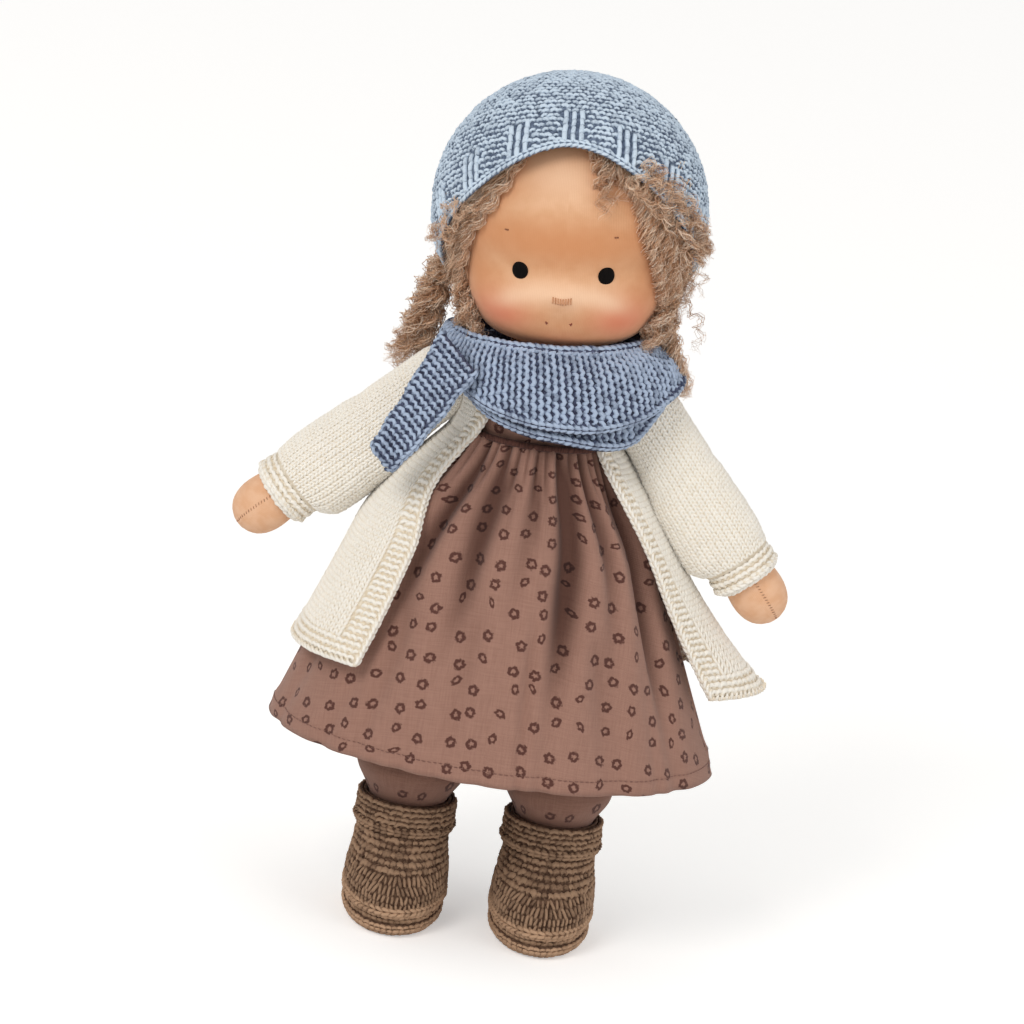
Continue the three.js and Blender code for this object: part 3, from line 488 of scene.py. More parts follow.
def stitch_tree():
    """Sets a loop of yarn on every point: a purl bump of one leg, or a knit V of two."""
    t = Tree("stitches")
    bed = t.input("Geometry", "NodeSocketGeometry")
    width = t.input("Stitch Width", default=0.0023)
    rise = t.input("Stitch Rise", default=0.0021)
    height = t.input("Stitch Height", default=0.001)
    thickness = t.input("Yarn Thickness", default=0.0011)
    start = t.input("Yarn Start", "NodeSocketVector", (-0.6, -0.2, -0.6))
    middle = t.input("Yarn Middle", "NodeSocketVector", (0, 0.4, 1))
    end = t.input("Yarn End", "NodeSocketVector", (0.6, -0.2, -0.6))
    second_leg = t.input("Second Leg", "NodeSocketBool", False)
    bends = t.input("Bends", "NodeSocketInt", 4)
    unevenness = t.input("Unevenness", default=0.12)
    seed = t.input("Seed", "NodeSocketInt", SEED)
    material = t.input("Yarn", "NodeSocketMaterial")

    size = t.xyz(X=width, Y=rise, Z=height)
    profile = t.circle(thickness, YARN_CORNERS)

    def leg(side):
        across = t.vector("MULTIPLY", size, (side, 1, 1))
        curve = t.out("GeometryNodeCurveQuadraticBezier", {
            "Resolution": bends,
            "Start": t.vector("MULTIPLY", start, across),
            "Middle": t.vector("MULTIPLY", middle, across),
            "End": t.vector("MULTIPLY", end, across),
        })
        share = t.add("GeometryNodeSplineParameter").outputs["Factor"]
        crest = t.times(t.times(share, t.minus(1, share)), 4)
        marked = t.kept(curve, "crest", crest)
        swept = {"Curve": marked, "Profile Curve": profile, "Fill Caps": True}
        return t.out("GeometryNodeCurveToMesh", swept)

    first, second = leg(1), leg(-1)
    both = t.add("GeometryNodeJoinGeometry")
    t.tree.links.new(first, both.inputs[0])
    t.tree.links.new(second, both.inputs[0])
    loop = t.out("GeometryNodeSwitch", {"Switch": second_leg, "False": first, "True": both.outputs[0]})

    def wobble(shift, share=1):
        return t.random(t.times(unevenness, -share), t.times(unevenness, share), t.plus(seed, shift))
    up, along = t.named("up", "FLOAT_VECTOR"), t.named("along", "FLOAT_VECTOR")
    turn = t.facing(up, along, t.xyz(X=wobble(1), Y=wobble(2), Z=wobble(3, 1.5)))
    swell = t.plus(1, wobble(4))
    laid = t.out("GeometryNodeInstanceOnPoints", {
        "Points": t.out("GeometryNodeMeshToPoints", {"Mesh": bed}), "Instance": loop, "Rotation": turn,
        "Scale": t.scaled(t.named("stretch", "FLOAT_VECTOR"), swell),
    })
    return t.end_with(laid, material)


def seam_tree():
    """Lays short sewing stitches along a path, with a gap after each."""
    t = Tree("sewing stitches")
    path = t.input("Geometry", "NodeSocketGeometry")
    spacing = t.input("Stitch Spacing", default=0.0016)
    length = t.input("Stitch Length", default=0.001)
    thickness = t.input("Thread Thickness", default=0.0004)
    slant = t.input("Slant", default=0.0)
    material = t.input("Thread", "NodeSocketMaterial")
    curve = t.out("GeometryNodeMeshToCurve", {"Mesh": path})
    spots = t.out("GeometryNodeResampleCurve", {"Curve": curve, "Length": spacing}, mode="LENGTH")
    points = t.add("GeometryNodeCurveToPoints", {"Curve": spots}, mode="EVALUATED")
    half, sunk = t.times(length, 0.5), t.times(thickness, -0.6)
    stitch = t.out("GeometryNodeCurveQuadraticBezier", {
        "Resolution": 4, "Start": t.xyz(X=t.times(half, -1), Z=sunk), "Middle": t.xyz(Z=thickness),
        "End": t.xyz(X=half, Z=sunk),
    })
    thread = t.out("GeometryNodeCurveToMesh", {
        "Curve": stitch, "Profile Curve": t.circle(thickness, YARN_CORNERS), "Fill Caps": True,
    })
    turn = t.facing(t.named("up", "FLOAT_VECTOR"), points.outputs["Tangent"], t.xyz(Z=slant))
    laid = t.out("GeometryNodeInstanceOnPoints", {
        "Points": points.outputs["Points"], "Instance": thread, "Rotation": turn,
    })
    return t.end_with(laid, material)


def strand_tree():
    """Turns guide paths into bundles of thin curling strands that part and meet along the way."""
    t = Tree("mohair strands")
    guides = t.input("Geometry", "NodeSocketGeometry")
    count = t.input("Strands", "NodeSocketInt", 20)
    points_along = t.input("Points Along", "NodeSocketInt", 34)
    bundle = t.input("Bundle Radius", default=0.004)
    curl_radius = t.input("Curl Radius", default=0.0015)
    curl_length = t.input("Curl Length", default=0.009)
    thickness = t.input("Strand Thickness", default=0.0003)
    frizz = t.input("Frizz", default=0.0006)
    seed = t.input("Seed", "NodeSocketInt", SEED)
    material = t.input("Hair", "NodeSocketMaterial")

    curve = t.out("GeometryNodeMeshToCurve", {"Mesh": guides})
    even = t.out("GeometryNodeResampleCurve", {"Curve": curve, "Count": points_along})
    copies = t.out("GeometryNodeDuplicateElements", {0: even, "Amount": count}, domain="SPLINE")

    def per_strand(low, high, shift):
        value = t.random(low, high, t.plus(seed, shift))
        return t.out("GeometryNodeFieldOnDomain", {0: value}, domain="CURVE", data_type="FLOAT")

    marked = t.kept(copies, "tone", per_strand(0, 1, 1), "CURVE")
    marked = t.kept(marked, "phase", t.plus(t.named("lock_turn"), per_strand(0, 1.5, 2)), "CURVE")
    marked = t.kept(marked, "reach", t.math("SQRT", per_strand(0, 1, 3)), "CURVE")
    marked = t.kept(marked, "place", per_strand(0, TAU, 4), "CURVE")
    tightness = t.plus(0.8, t.times(t.named("lock_turn"), 0.08))
    marked = t.kept(marked, "curliness", t.plus(tightness, per_strand(-0.05, 0.05, 5)), "CURVE")

    share = t.add("GeometryNodeSplineParameter")
    run, factor = share.outputs["Length"], share.outputs["Factor"]
    normal = t.out("GeometryNodeInputNormal")
    aside = t.vector("CROSS_PRODUCT", t.out("GeometryNodeInputTangent"), normal)

    def round_the_guide(angle, radius):
        along_normal = t.scaled(normal, t.times(t.math("COSINE", angle), radius))
        return t.vector("ADD", along_normal, t.scaled(aside, t.times(t.math("SINE", angle), radius)))

    fullness = t.add("ShaderNodeFloatCurve", {"Value": factor})
    points = fullness.mapping.curves[0].points
    for spot, value in ((0, 0.45), (1, 0.35)):
        points[spot].location = (spot, value)
    points.new(0.3, 1)
    points.new(0.75, 0.85)
    fullness.mapping.update()
    in_bundle = round_the_guide(
        t.plus(t.named("place"), t.times(factor, 1.5)),
        t.times(t.times(bundle, t.named("reach")), fullness.outputs[0]),
    )
    turns = t.times(t.over(run, curl_length), TAU)
    curl = round_the_guide(
        t.plus(t.times(turns, t.named("curliness")), t.named("phase")),
        t.times(curl_radius, t.math("MINIMUM", 1, t.times(factor, 4))),
    )
    spot = t.vector("ADD", t.out("GeometryNodeInputPosition"), t.scaled(aside, t.named("phase")))
    ruffle = t.add("ShaderNodeTexNoise", {"Vector": spot, "Scale": 420, "Detail": 1}).outputs["Color"]
    frizzed = t.scaled(t.vector("SUBTRACT", ruffle, (0.5, 0.5, 0.5)), t.times(frizz, 4))
    moved = t.out("GeometryNodeSetPosition", {
        "Geometry": marked, "Offset": t.vector("ADD", t.vector("ADD", in_bundle, curl), frizzed),
    })
    taper = t.minus(1, t.times(t.math("POWER", factor, 3), 0.75))
    tapered = t.out("GeometryNodeSetCurveRadius", {"Curve": moved, "Radius": taper})
    mesh = t.out("GeometryNodeCurveToMesh", {
        "Curve": tapered, "Profile Curve": t.circle(thickness, STRAND_CORNERS), "Scale": taper,
        "Fill Caps": True,
    })
    return t.end_with(mesh, material)


STITCHES = stitch_tree()
SEWING = seam_tree()
STRANDS = strand_tree()


def points_object(name, points, place, vectors=None, values=None, edges=()):
    """Loose points, or paths, for a tree to grow pieces on."""
    mesh = bpy.data.meshes.new(name)
    mesh.from_pydata(placed(points, place).tolist(), [tuple(edge) for edge in edges], [])
    store(mesh, vectors, "FLOAT_VECTOR", "vector")
    store(mesh, values)
    return link(bpy.data.objects.new(name, mesh))


# Finishes. Colours are written as the eye sees them, from 0 to 255.
def colour(red, green, blue):
    shares = (channel / 255 for channel in (red, green, blue))
    linear = [share / 12.92 if share <= 0.04045 else ((share + 0.055) / 1.055) ** 2.4 for share in shares]
    return (*linear, 1)


def blended(t, factor, low, high, how="MIX"):
    return t.add("ShaderNodeMix", {0: factor, 6: low, 7: high}, data_type="RGBA", blend_type=how).outputs[2]


def ramp(t, value, low, high):
    """From 0 to 1 as the value passes from low to high, softly."""
    return t.out("ShaderNodeMapRange", {"Value": value, "From Min": low, "From Max": high},
                 interpolation_type="SMOOTHSTEP")


def noise(t, vector, scale, detail):
    return t.out("ShaderNodeTexNoise", {"Vector": vector, "Scale": scale, "Detail": detail})


def yarn_group():
    """Spun wool: fibres, painted shade at the root where a stitch dives in, and stitches that differ a
    little.
    """
    t = Tree("spun yarn", "ShaderNodeTree")
    position = t.input("Position", "NodeSocketVector")
    crest = t.input("Crest")
    tone = t.input("Tone")
    light = t.input("Light Colour", "NodeSocketColor")
    dark = t.input("Deep Colour", "NodeSocketColor")
    fibre_scale = t.input("Fibre Scale")
    spread = t.input("Tone Spread")
    fibres = noise(t, position, fibre_scale, 3)
    patches = noise(t, position, 90, 2)
    # Painted shade: a stitch turns to the deep colour towards its ends, where it dives under its neighbours;
    # fibres, tone and patches vary this at random.
    lift = t.plus(ramp(t, crest, 0.15, 0.95), t.times(t.minus(fibres, 0.5), 0.9))
    lift = t.plus(lift, t.times(t.minus(tone, 0.5), spread))
    lift = t.plus(lift, t.times(t.minus(patches, 0.5), spread))
    lift = t.out("ShaderNodeClamp", {0: lift})
    t.output("Colour", blended(t, lift, dark, light), "NodeSocketColor")
    t.output("Height", fibres)
    return t.tree


def weave_group():
    """Plain weave in the cloth's own flat coordinates: threads over and under, some of them thicker."""
    t = Tree("plain weave", "ShaderNodeTree")
    position = t.input("Position", "NodeSocketVector")
    spacing = t.input("Thread Spacing")
    apart = t.add("ShaderNodeSeparateXYZ", {0: t.scaled(position, t.over(1, spacing))})
    x, y = apart.outputs[0], apart.outputs[1]
    warp = t.math("ABSOLUTE", t.math("SINE", t.times(x, math.pi)))
    weft = t.math("ABSOLUTE", t.math("SINE", t.times(y, math.pi)))
    over = t.math("MODULO", t.math("ABSOLUTE", t.plus(t.math("FLOOR", x), t.math("FLOOR", y))), 2)
    t.output("Threads", t.plus(t.times(warp, over), t.times(weft, t.minus(1, over))))
    long_way = t.xyz(X=t.times(x, 0.05), Y=t.times(y, 0.9))
    cross_way = t.xyz(X=t.times(x, 0.9), Y=t.times(y, 0.05))
    t.output("Slubs", t.times(t.plus(noise(t, long_way, 1.0, 2), noise(t, cross_way, 1.0, 2)), 0.5))
    return t.tree


def flower_group():
    """Small printed rings with a bumpy outline, scattered over the flat cloth."""
    t = Tree("ring flowers", "ShaderNodeTree")
    position = t.input("Position", "NodeSocketVector")
    spacing = t.input("Flower Spacing")
    radius = t.input("Ring Radius")
    line = t.input("Line Width")
    cells = t.scaled(position, t.over(1, spacing))
    flat = t.vector("MULTIPLY", cells, (1, 1, 0))
    nearest = t.add("ShaderNodeTexVoronoi", {"Vector": flat, "Scale": 1.0, "Randomness": 0.62},
                    voronoi_dimensions="2D")
    away = t.scaled(t.vector("SUBTRACT", flat, nearest.outputs["Position"]), spacing)
    luck = t.add("ShaderNodeSeparateColor", {0: nearest.outputs["Color"]})
    lean = t.times(luck.outputs[0], TAU)
    turned_away = t.out("ShaderNodeVectorRotate", {"Vector": away, "Angle": lean}, rotation_type="Z_AXIS")
    squeeze = t.xyz(X=t.plus(1, t.times(t.math("POWER", luck.outputs[1], 5), 1.3)), Y=1, Z=0)
    local = t.vector("MULTIPLY", turned_away, squeeze)
    apart = t.add("ShaderNodeSeparateXYZ", {0: local})
    angle = t.math("ARCTAN2", apart.outputs[1], apart.outputs[0])
    petals = t.math("SINE", t.plus(t.times(angle, 5), t.times(luck.outputs[2], TAU)))
    ragged = t.minus(noise(t, position, 1000, 2), 0.5)
    wanted = t.times(radius, t.plus(1, t.times(petals, 0.07)))
    off = t.math("ABSOLUTE", t.minus(t.vector("LENGTH", local), wanted))
    off = t.plus(off, t.times(ragged, t.times(line, 1.8)))
    mask = t.minus(1, ramp(t, off, t.times(line, 0.3), t.times(line, 0.75)))
    t.output("Mask", mask)
    return t.tree


def tricot_group():
    """Fine knitted skin cloth: narrow ribs in the cloth's own coordinates and a soft cotton mottle."""
    t = Tree("cotton tricot", "ShaderNodeTree")
    position = t.input("Position", "NodeSocketVector")
    spacing = t.input("Rib Spacing")
    apart = t.add("ShaderNodeSeparateXYZ", {0: t.scaled(position, t.over(1, spacing))})
    ribs = t.math("ABSOLUTE", t.math("SINE", t.times(apart.outputs[0], math.pi)))
    rows = t.math("ABSOLUTE", t.math("SINE", t.times(apart.outputs[1], math.pi * 1.3)))
    t.output("Ribs", t.plus(t.times(ribs, 0.7), t.times(rows, 0.3)))
    t.output("Mottle", noise(t, position, 160, 4))
    return t.tree


YARN = yarn_group()
WEAVE = weave_group()
FLOWERS = flower_group()
TRICOT = tricot_group()


class Finish(Tree):
    """A material under construction, with its shader and output ready."""

    def __init__(self, name, roughness=0.9, sheen=0.0, sheen_tint=None, **sockets):
        self.material = bpy.data.materials.new(name)
        self.material.use_nodes = True
        self.tree = self.material.node_tree
        self.shader = self.tree.nodes["Principled BSDF"]
        self.shader.inputs["Roughness"].default_value = roughness
        self.shader.inputs["Specular IOR Level"].default_value = 0.25
        self.shader.inputs["Sheen Weight"].default_value = sheen
        self.shader.inputs["Sheen Roughness"].default_value = 0.5
        if sheen_tint:
            self.shader.inputs["Sheen Tint"].default_value = sheen_tint
        for key, value in sockets.items():
            self.shader.inputs[key.replace("_", " ")].default_value = value

    def group(self, tree, **inputs):
        named = {key.replace("_", " "): value for key, value in inputs.items()}
        return self.add("ShaderNodeGroup", named, node_tree=tree)

    def place(self):
        return self.add("ShaderNodeTexCoord").outputs["Object"]

    def cloth_place(self):
        return self.out("ShaderNodeUVMap", uv_map="cloth")

    def attribute(self, name):
        return self.add("ShaderNodeAttribute", attribute_name=name).outputs["Fac"]

    def finish(self, base_colour, height=None, strength=0.5, distance=0.3):
        self.tree.links.new(base_colour, self.shader.inputs["Base Color"])
        if height is not None:
            bump = self.add("ShaderNodeBump",
                            {"Height": height, "Strength": strength, "Distance": distance * MM})
            self.tree.links.new(bump.outputs[0], self.shader.inputs["Normal"])
        return self.material


def yarn_finish(name, light, deep, spread=0.5):
    m = Finish(name, roughness=0.95, sheen=0.25, sheen_tint=light)
    yarn = m.group(
        YARN, Position=m.place(), Crest=m.attribute("crest"), Tone=m.attribute("tone"),
        Light_Colour=light, Deep_Colour=deep, Fibre_Scale=1500.0, Tone_Spread=spread,
    )
    return m.finish(yarn.outputs["Colour"], yarn.outputs["Height"], 0.6, 0.3)


def knit_ground(name, light, deep):
    """The cloth seen between the stitches, coloured darker than they are as painted shade in the gaps."""
    m = Finish(name, roughness=1.0)
    fibres = noise(m, m.place(), 800, 3)
    return m.finish(blended(m, ramp(m, fibres, 0.35, 0.7), deep, light), fibres, 0.6, 0.5)


def print_finish(name, ground, dark_ground, flower):
    m = Finish(name, roughness=0.9, sheen=0.12)
    flat = m.cloth_place()
    weave = m.group(WEAVE, Position=flat, Thread_Spacing=0.42 * MM)
    flowers = m.group(FLOWERS, Position=flat, Flower_Spacing=8.8 * MM, Ring_Radius=1.3 * MM,
                      Line_Width=1.1 * MM)
    cloth = blended(m, ramp(m, weave.outputs["Slubs"], 0.25, 0.75), dark_ground, ground)
    # Painted shade: darker where the weave's threads dip, in the gaps between them.
    threads = m.times(m.minus(1, weave.outputs["Threads"]), 0.16)
    cloth = blended(m, threads, cloth, dark_ground)
    inked = blended(m, m.times(flowers.outputs["Mask"], 0.92), cloth, flower)
    # Painted shade: the print is multiplied darker where the skirt's folds lie deep, by the valley value.
    shaded = blended(m, m.attribute("valley"), inked, colour(150, 136, 132), "MULTIPLY")
    return m.finish(shaded, weave.outputs["Threads"], 0.5, 0.18)


def tricot_finish(name, light, warm, with_blush_shade_and_light):
    m = Finish(name, roughness=0.85, sheen=0.15)
    tricot = m.group(TRICOT, Position=m.cloth_place(), Rib_Spacing=0.62 * MM)
    skin = blended(m, ramp(m, tricot.outputs["Mottle"], 0.3, 0.7), warm, light)
    if with_blush_shade_and_light:
        # Painted shade, in a warm darker skin colour.
        skin = blended(m, m.attribute("warm_shade"), skin, colour(204, 138, 92))
        skin = blended(m, m.attribute("blush"), skin, colour(224, 126, 92))
        # Painted light, in a pale skin colour.
        skin = blended(m, m.attribute("pale"), skin, colour(246, 208, 176))
    # Painted shade: darker in the grooves between the tricot's ribs.
    skin = blended(m, m.times(m.minus(1, tricot.outputs["Ribs"]), 0.16), skin, colour(190, 124, 84))
    return m.finish(skin, tricot.outputs["Ribs"], 0.35, 0.12)


def thread_finish(name, light, deep, roughness=0.55, sheen=0.1, specular=0.25):
    """Embroidery thread laid side by side."""
    m = Finish(name, roughness=roughness, sheen=sheen, Specular_IOR_Level=specular)
    stretched = m.vector("MULTIPLY", m.place(), (1, 0.15, 0.15))
    strands = noise(m, stretched, 2400.0, 2)
    return m.finish(blended(m, ramp(m, strands, 0.35, 0.65), deep, light), strands, 0.5, 0.15)


def hair_finish():
    m = Finish("ash-brown mohair", roughness=0.62, sheen=0.3, sheen_tint=colour(230, 205, 180))
    tone = m.attribute("tone")
    streaks = noise(m, m.place(), 260, 2)
    shade = m.plus(tone, m.times(m.minus(streaks, 0.5), 0.8))
    hair = blended(m, ramp(m, shade, 0.1, 0.55), colour(184, 136, 102), colour(232, 194, 162))
    hair = blended(m, ramp(m, shade, 0.5, 1.05), hair, colour(252, 236, 218))
    return m.finish(hair)


def hair_ground_finish():
    """Brushed mohair under the loose strands: streaks that run down it."""
    m = Finish("mohair underlayer", roughness=0.8)
    stretched = m.vector("MULTIPLY", m.place(), (1, 1, 0.25))
    streaks = noise(m, stretched, 700, 4)
    hair = blended(m, ramp(m, streaks, 0.35, 0.65), colour(158, 112, 82), colour(206, 162, 130))
    return m.finish(hair, streaks, 0.8, 0.8)


def wood_finish():
    m = Finish("turned bead wood", roughness=0.5)
    stretched = m.vector("MULTIPLY", m.place(), (1, 1, 6))
    grain = noise(m, stretched, 300, 4)
    wood = blended(m, ramp(m, grain, 0.3, 0.7), colour(168, 122, 74), colour(214, 172, 118))
    return m.finish(wood, grain, 0.3, 0.1)


# Each yarn's deep colour is painted shade where its stitches dive in, and each ground's colours are painted
# shade between the stitches.
hat_yarn = yarn_finish("blue-grey hat yarn", colour(206, 222, 238), colour(94, 108, 130))
hat_ground = knit_ground("blue-grey hat ground", colour(124, 138, 160), colour(84, 97, 119))
scarf_yarn = yarn_finish("violet-blue scarf yarn", colour(172, 188, 212), colour(64, 72, 96), 0.7)
scarf_ground = knit_ground("violet-blue scarf ground", colour(92, 98, 124), colour(50, 52, 70))
cream_yarn = yarn_finish("cream cardigan yarn", colour(247, 243, 235), colour(234, 223, 205), 0.25)
cream_ground = knit_ground("cream cardigan ground", colour(236, 226, 209), colour(218, 203, 180))
boot_yarn = yarn_finish("taupe boot yarn", colour(160, 130, 106), colour(76, 54, 41), 0.9)
sole_yarn = yarn_finish("taupe sole yarn", colour(188, 154, 126), colour(104, 78, 60), 0.6)
boot_ground = knit_ground("taupe boot ground", colour(118, 92, 74), colour(78, 57, 45))
dress_cloth = print_finish("dress print", colour(166, 127, 112), colour(150, 112, 98), colour(80, 44, 38))
trouser_cloth = print_finish("trouser print", colour(150, 112, 97), colour(130, 94, 80), colour(74, 42, 36))
piping_cloth = thread_finish("dark waist piping", colour(92, 58, 50), colour(62, 36, 30), roughness=0.9)
face_tricot = tricot_finish("face tricot", colour(228, 182, 144), colour(218, 168, 128), True)
body_tricot = tricot_finish("body tricot", colour(234, 190, 156), colour(226, 176, 138), False)
eye_thread = thread_finish("black eye thread", colour(14, 9, 8), colour(4, 3, 3), roughness=0.6, sheen=0,
                           specular=0.06)
nose_thread = thread_finish("peach nose thread", colour(214, 156, 116), colour(188, 130, 92))
mouth_thread = thread_finish("rust mouth thread", colour(150, 78, 56), colour(110, 52, 40))
seam_thread = thread_finish("brown seam thread", colour(156, 100, 68), colour(120, 74, 50))
hem_thread = thread_finish("brown hem thread", colour(132, 92, 80), colour(104, 68, 58))
hair_strands = hair_finish()
hair_ground = hair_ground_finish()
bead_wood = wood_finish()


# Knitting: rows of stitches over a surface face(u, v, outward), with u along the row and v from row to row.
PURL = {"Yarn Start": (-0.62, -0.3, -0.7), "Yarn Middle": (0.0, 0.62, 1.3), "Yarn End": (0.62, -0.3, -0.7)}
KNIT = {"Yarn Start": (0.04, -0.78, -0.9), "Yarn Middle": (0.34, 0.05, 1.5), "Yarn End": (0.42, 0.72, -0.7),
        "Second Leg": True, "Bends": 3}
RIB = {"Yarn Start": (0, -0.66, -0.5), "Yarn Middle": (0.0, 0, 1.4), "Yarn End": (0, 0.66, -0.5)}
ZIGZAG = {"Yarn Start": (-0.66, -0.55, -0.8), "Yarn Middle": (0.1, 0.75, 1.5), "Yarn End": (0.62, -0.5, -0.8)}

# How each part is worked, in millimetres: the stitch's width and the row's height, how high the yarn stands
# and how thick it is, where it lies against the surface, then how uneven it is, its form and the way it runs.
Work = namedtuple("Work", "stitch row height thickness outward unevenness shape along",
                  defaults=(0.0, 0.1, PURL, "u"))
HAT_WORK = Work(2.3, 2.05, 0.7, 1.15, 0.0, 0.26)
HAT_RIB_WORK = Work(2.6, 3.3, 0.85, 1.75, 0.0, 0.1, RIB)
WRAP_WORK = Work(2.35, 2.5, 0.95, 1.5, -0.75, 0.14, ZIGZAG, "v")
TAIL_WORK = Work(2.4, 2.35, 0.95, 1.35, -0.1, 0.14, ZIGZAG)
TAIL_BACK_WORK = Work(2.4, 2.35, 0.7, 1.3, 0.0, 0.14, ZIGZAG)
CARDIGAN_WORK = Work(2.5, 1.95, 0.55, 1.05, -0.7, 0.08, KNIT)
HEM_WORK = Work(2.6, 2.4, 0.8, 1.5, -0.6, 0.14)
BAND_WORK = Work(2.6, 2.35, 0.85, 1.5, -0.6, 0.16)
INSIDE_WORK = Work(3.6, 2.8, 0.2, 1.1)
SLEEVE_TOP_WORK = Work(2.3, 1.9, 0.5, 1.0, -0.7, 0.08, KNIT)
SLEEVE_WORK = Work(2.35, 1.9, 0.55, 1.05, -0.7, 0.09, KNIT)
CUFF_WORK = Work(2.7, 2.3, 0.75, 1.5, -0.75, 0.14)
BOOT_WORK = Work(2.5, 2.0, 0.65, 1.45, -0.75, 0.26)
TOE_WORK = Work(2.0, 2.6, 0.55, 1.25, -0.7, 0.2, RIB)
WELT_WORK = Work(2.4, 1.9, 0.6, 1.5, -0.7, 0.22)
SOLE_WORK = Work(2.6, 1.6, 0.55, 1.3, -0.75, 0.14)
SAMPLES = 200  # how many spots a row's length is measured at
NEAR = 0.002  # how far apart, in shares of a surface, the spots are that give its directions


def span(reach):
    return reach[1] - reach[0]


def length_along(face, u, v, axis):
    """How many millimetres one whole share of u or v is at each spot."""
    if axis == "u":
        ahead, behind = face(u + NEAR, v, 0), face(u - NEAR, v, 0)
    else:
        ahead, behind = face(u, v + NEAR, 0), face(u, v - NEAR, 0)
    return np.linalg.norm(ahead - behind, axis=-1) / (2 * NEAR)


def lay_rows(face, stitch, row, across=(0, 1), down=(0, 1), stagger=0.5, columns=None):
    """Spots for stitches: (u, v, share of the stitch's width, share of the row's height)."""
    steps = np.linspace(*down, SAMPLES)
    length = length_along(face, np.full(SAMPLES, np.mean(across)), steps, "v").mean() * span(down)
    rows = max(1, round(length / row))
    spots = []
    for j in range(rows):
        v = mix(*down, (j + 0.5) / rows)
        along_row = np.linspace(*across, SAMPLES), np.full(SAMPLES, v)
        run = length_along(face, *along_row, "u").mean() * span(across)
        count = columns or max(1, round(run / stitch))
        shift = stagger if j % 2 else 0
        u = mix(*across, (np.arange(count) + 0.25 + shift * 0.5) / count)
        vs = np.full(count, v)
        wide = length_along(face, u, vs, "u") * span(across) / count / stitch
        tall = length_along(face, u, vs, "v") * span(down) / rows / row
        spots.append(np.stack([u, vs, wide, tall], axis=1))
    return np.concatenate(spots)


def knit(name, face, spots, place, yarn, work, seed=SEED):
    """Stitches of yarn at the given spots, as one piece."""
    u, v, wide, tall = spots.T
    across = unit(face(u + NEAR, v, 0) - face(u - NEAR, v, 0))
    down = unit(face(u, v + NEAR, 0) - face(u, v - NEAR, 0))
    out = face(u, v, 1.0) - face(u, v, 0.0)
    up = unit(np.cross(across, down))
    up = up * np.sign(np.sum(up * out, axis=1, keepdims=True))
    even, sizes = np.ones_like(wide), (work.stitch, work.row)
    if work.along == "u":
        direction, stretch = across, [wide, tall, even]
    else:
        direction, stretch, sizes = down, [tall, wide, even], sizes[::-1]
    return stitched(name, face(u, v, work.outward), place, yarn, direction, up,
                    np.clip(np.stack(stretch, axis=1), 0.6, 1.6), sizes, work.height, work.thickness,
                    work.unevenness, seed, work.shape)


def stitched(name, points, place, yarn, direction, up, stretch, sizes, height, thickness, unevenness, seed,
             shape):
    """One stitch of yarn on every point."""
    tones = np.random.default_rng(seed).random(len(points))
    bed = points_object(name, points, place, {
        "along": turned(direction, place), "up": turned(up, place), "stretch": stretch,
    }, {"tone": tones})
    return grown(bed, STITCHES, **{
        "Stitch Width": sizes[0] * MM, "Stitch Rise": sizes[1] * MM, "Stitch Height": height * MM,
        "Yarn Thickness": thickness * MM, "Unevenness": unevenness, "Seed": seed, "Yarn": yarn,
    }, **shape)


def knit_rows(name, face, place, yarn, work, across=(0, 1), down=(0, 1), seed=SEED, stagger=0.5,
              columns=None):
    """Rows of stitches over a part of a surface, as one piece."""
    spots = lay_rows(face, work.stitch, work.row, across, down, stagger, columns)
    return knit(name, face, spots, place, yarn, work, seed)


def edge_stitches(name, path, ups, place, yarn, pitch, thickness, closed=False, seed=SEED):
    """A chain of V stitches along an edge."""
    if closed:
        path, ups = np.vstack([path, path[:1]]), np.vstack([ups, ups[:1]])
    run = distances(path)
    count = max(2, round(run[-1] / pitch))
    wanted = (np.arange(count) + 0.5) / count * run[-1]
    along = unit(points_at(wanted + 0.3, run, path) - points_at(wanted - 0.3, run, path))
    up = unit(points_at(wanted, run, ups))
    return stitched(name, points_at(wanted, run, path), place, yarn, unit(np.cross(up, along)), up,
                    np.ones((count, 3)), (thickness * 2.1, pitch), thickness * 0.7, thickness, 0.08, seed,
                    KNIT)


def sewn(name, path, ups, place, thread, spacing, length, thickness, slant=0.0):
    """A line of sewing stitches along a path."""
    edges = [(i, i + 1) for i in range(len(path) - 1)]
    line = points_object(name, path, place, {"up": turned(ups, place)}, edges=edges)
    return grown(line, SEWING, **{
        "Stitch Spacing": spacing * MM, "Stitch Length": length * MM, "Thread Thickness": thickness * MM,
        "Slant": slant, "Thread": thread,
    })


# The head: stuffed tricot with a face, in the head's own frame.
def head_point(turn, drop, outward=0.0):
    up = np.cos(drop)
    jaw = smooth(-up, 0, 0.6) * smooth(np.cos(turn), -0.7, 0.2)
    girth = np.abs(np.sin(drop)) ** mix(1, HEAD["jaw"], jaw)
    front = np.maximum(0, np.cos(turn)) * girth
    across = np.sin(turn) * girth
    cheeks = FACE["cheeks"] * smooth(front, 0.2, 0.8) * smooth(-up, 0.2, 0.6) * (1 - smooth(-up, 0.62, 0.95))
    eye_line = FACE["eye_line"] * smooth(front, 0.3, 0.9) * hump(up, -0.31, 0.12)
    nose_hump = np.exp(-(((up + 0.49) / 0.08) ** 2) - (across / 0.12) ** 2)
    nose = FACE["nose"] * nose_hump * smooth(front, 0.5, 0.8)
    mouth = 0.35 * np.exp(-(((up + 0.7) / 0.05) ** 2) - (across / 0.12) ** 2) * smooth(front, 0.3, 0.6)
    swell = outward + cheeks - eye_line + nose - mouth
    return stack(
        (HEAD["half_width"] + swell) * across,
        -(HEAD["half_depth"] + swell) * np.cos(turn) * girth,
        (HEAD["half_height"] + outward) * up,
    )


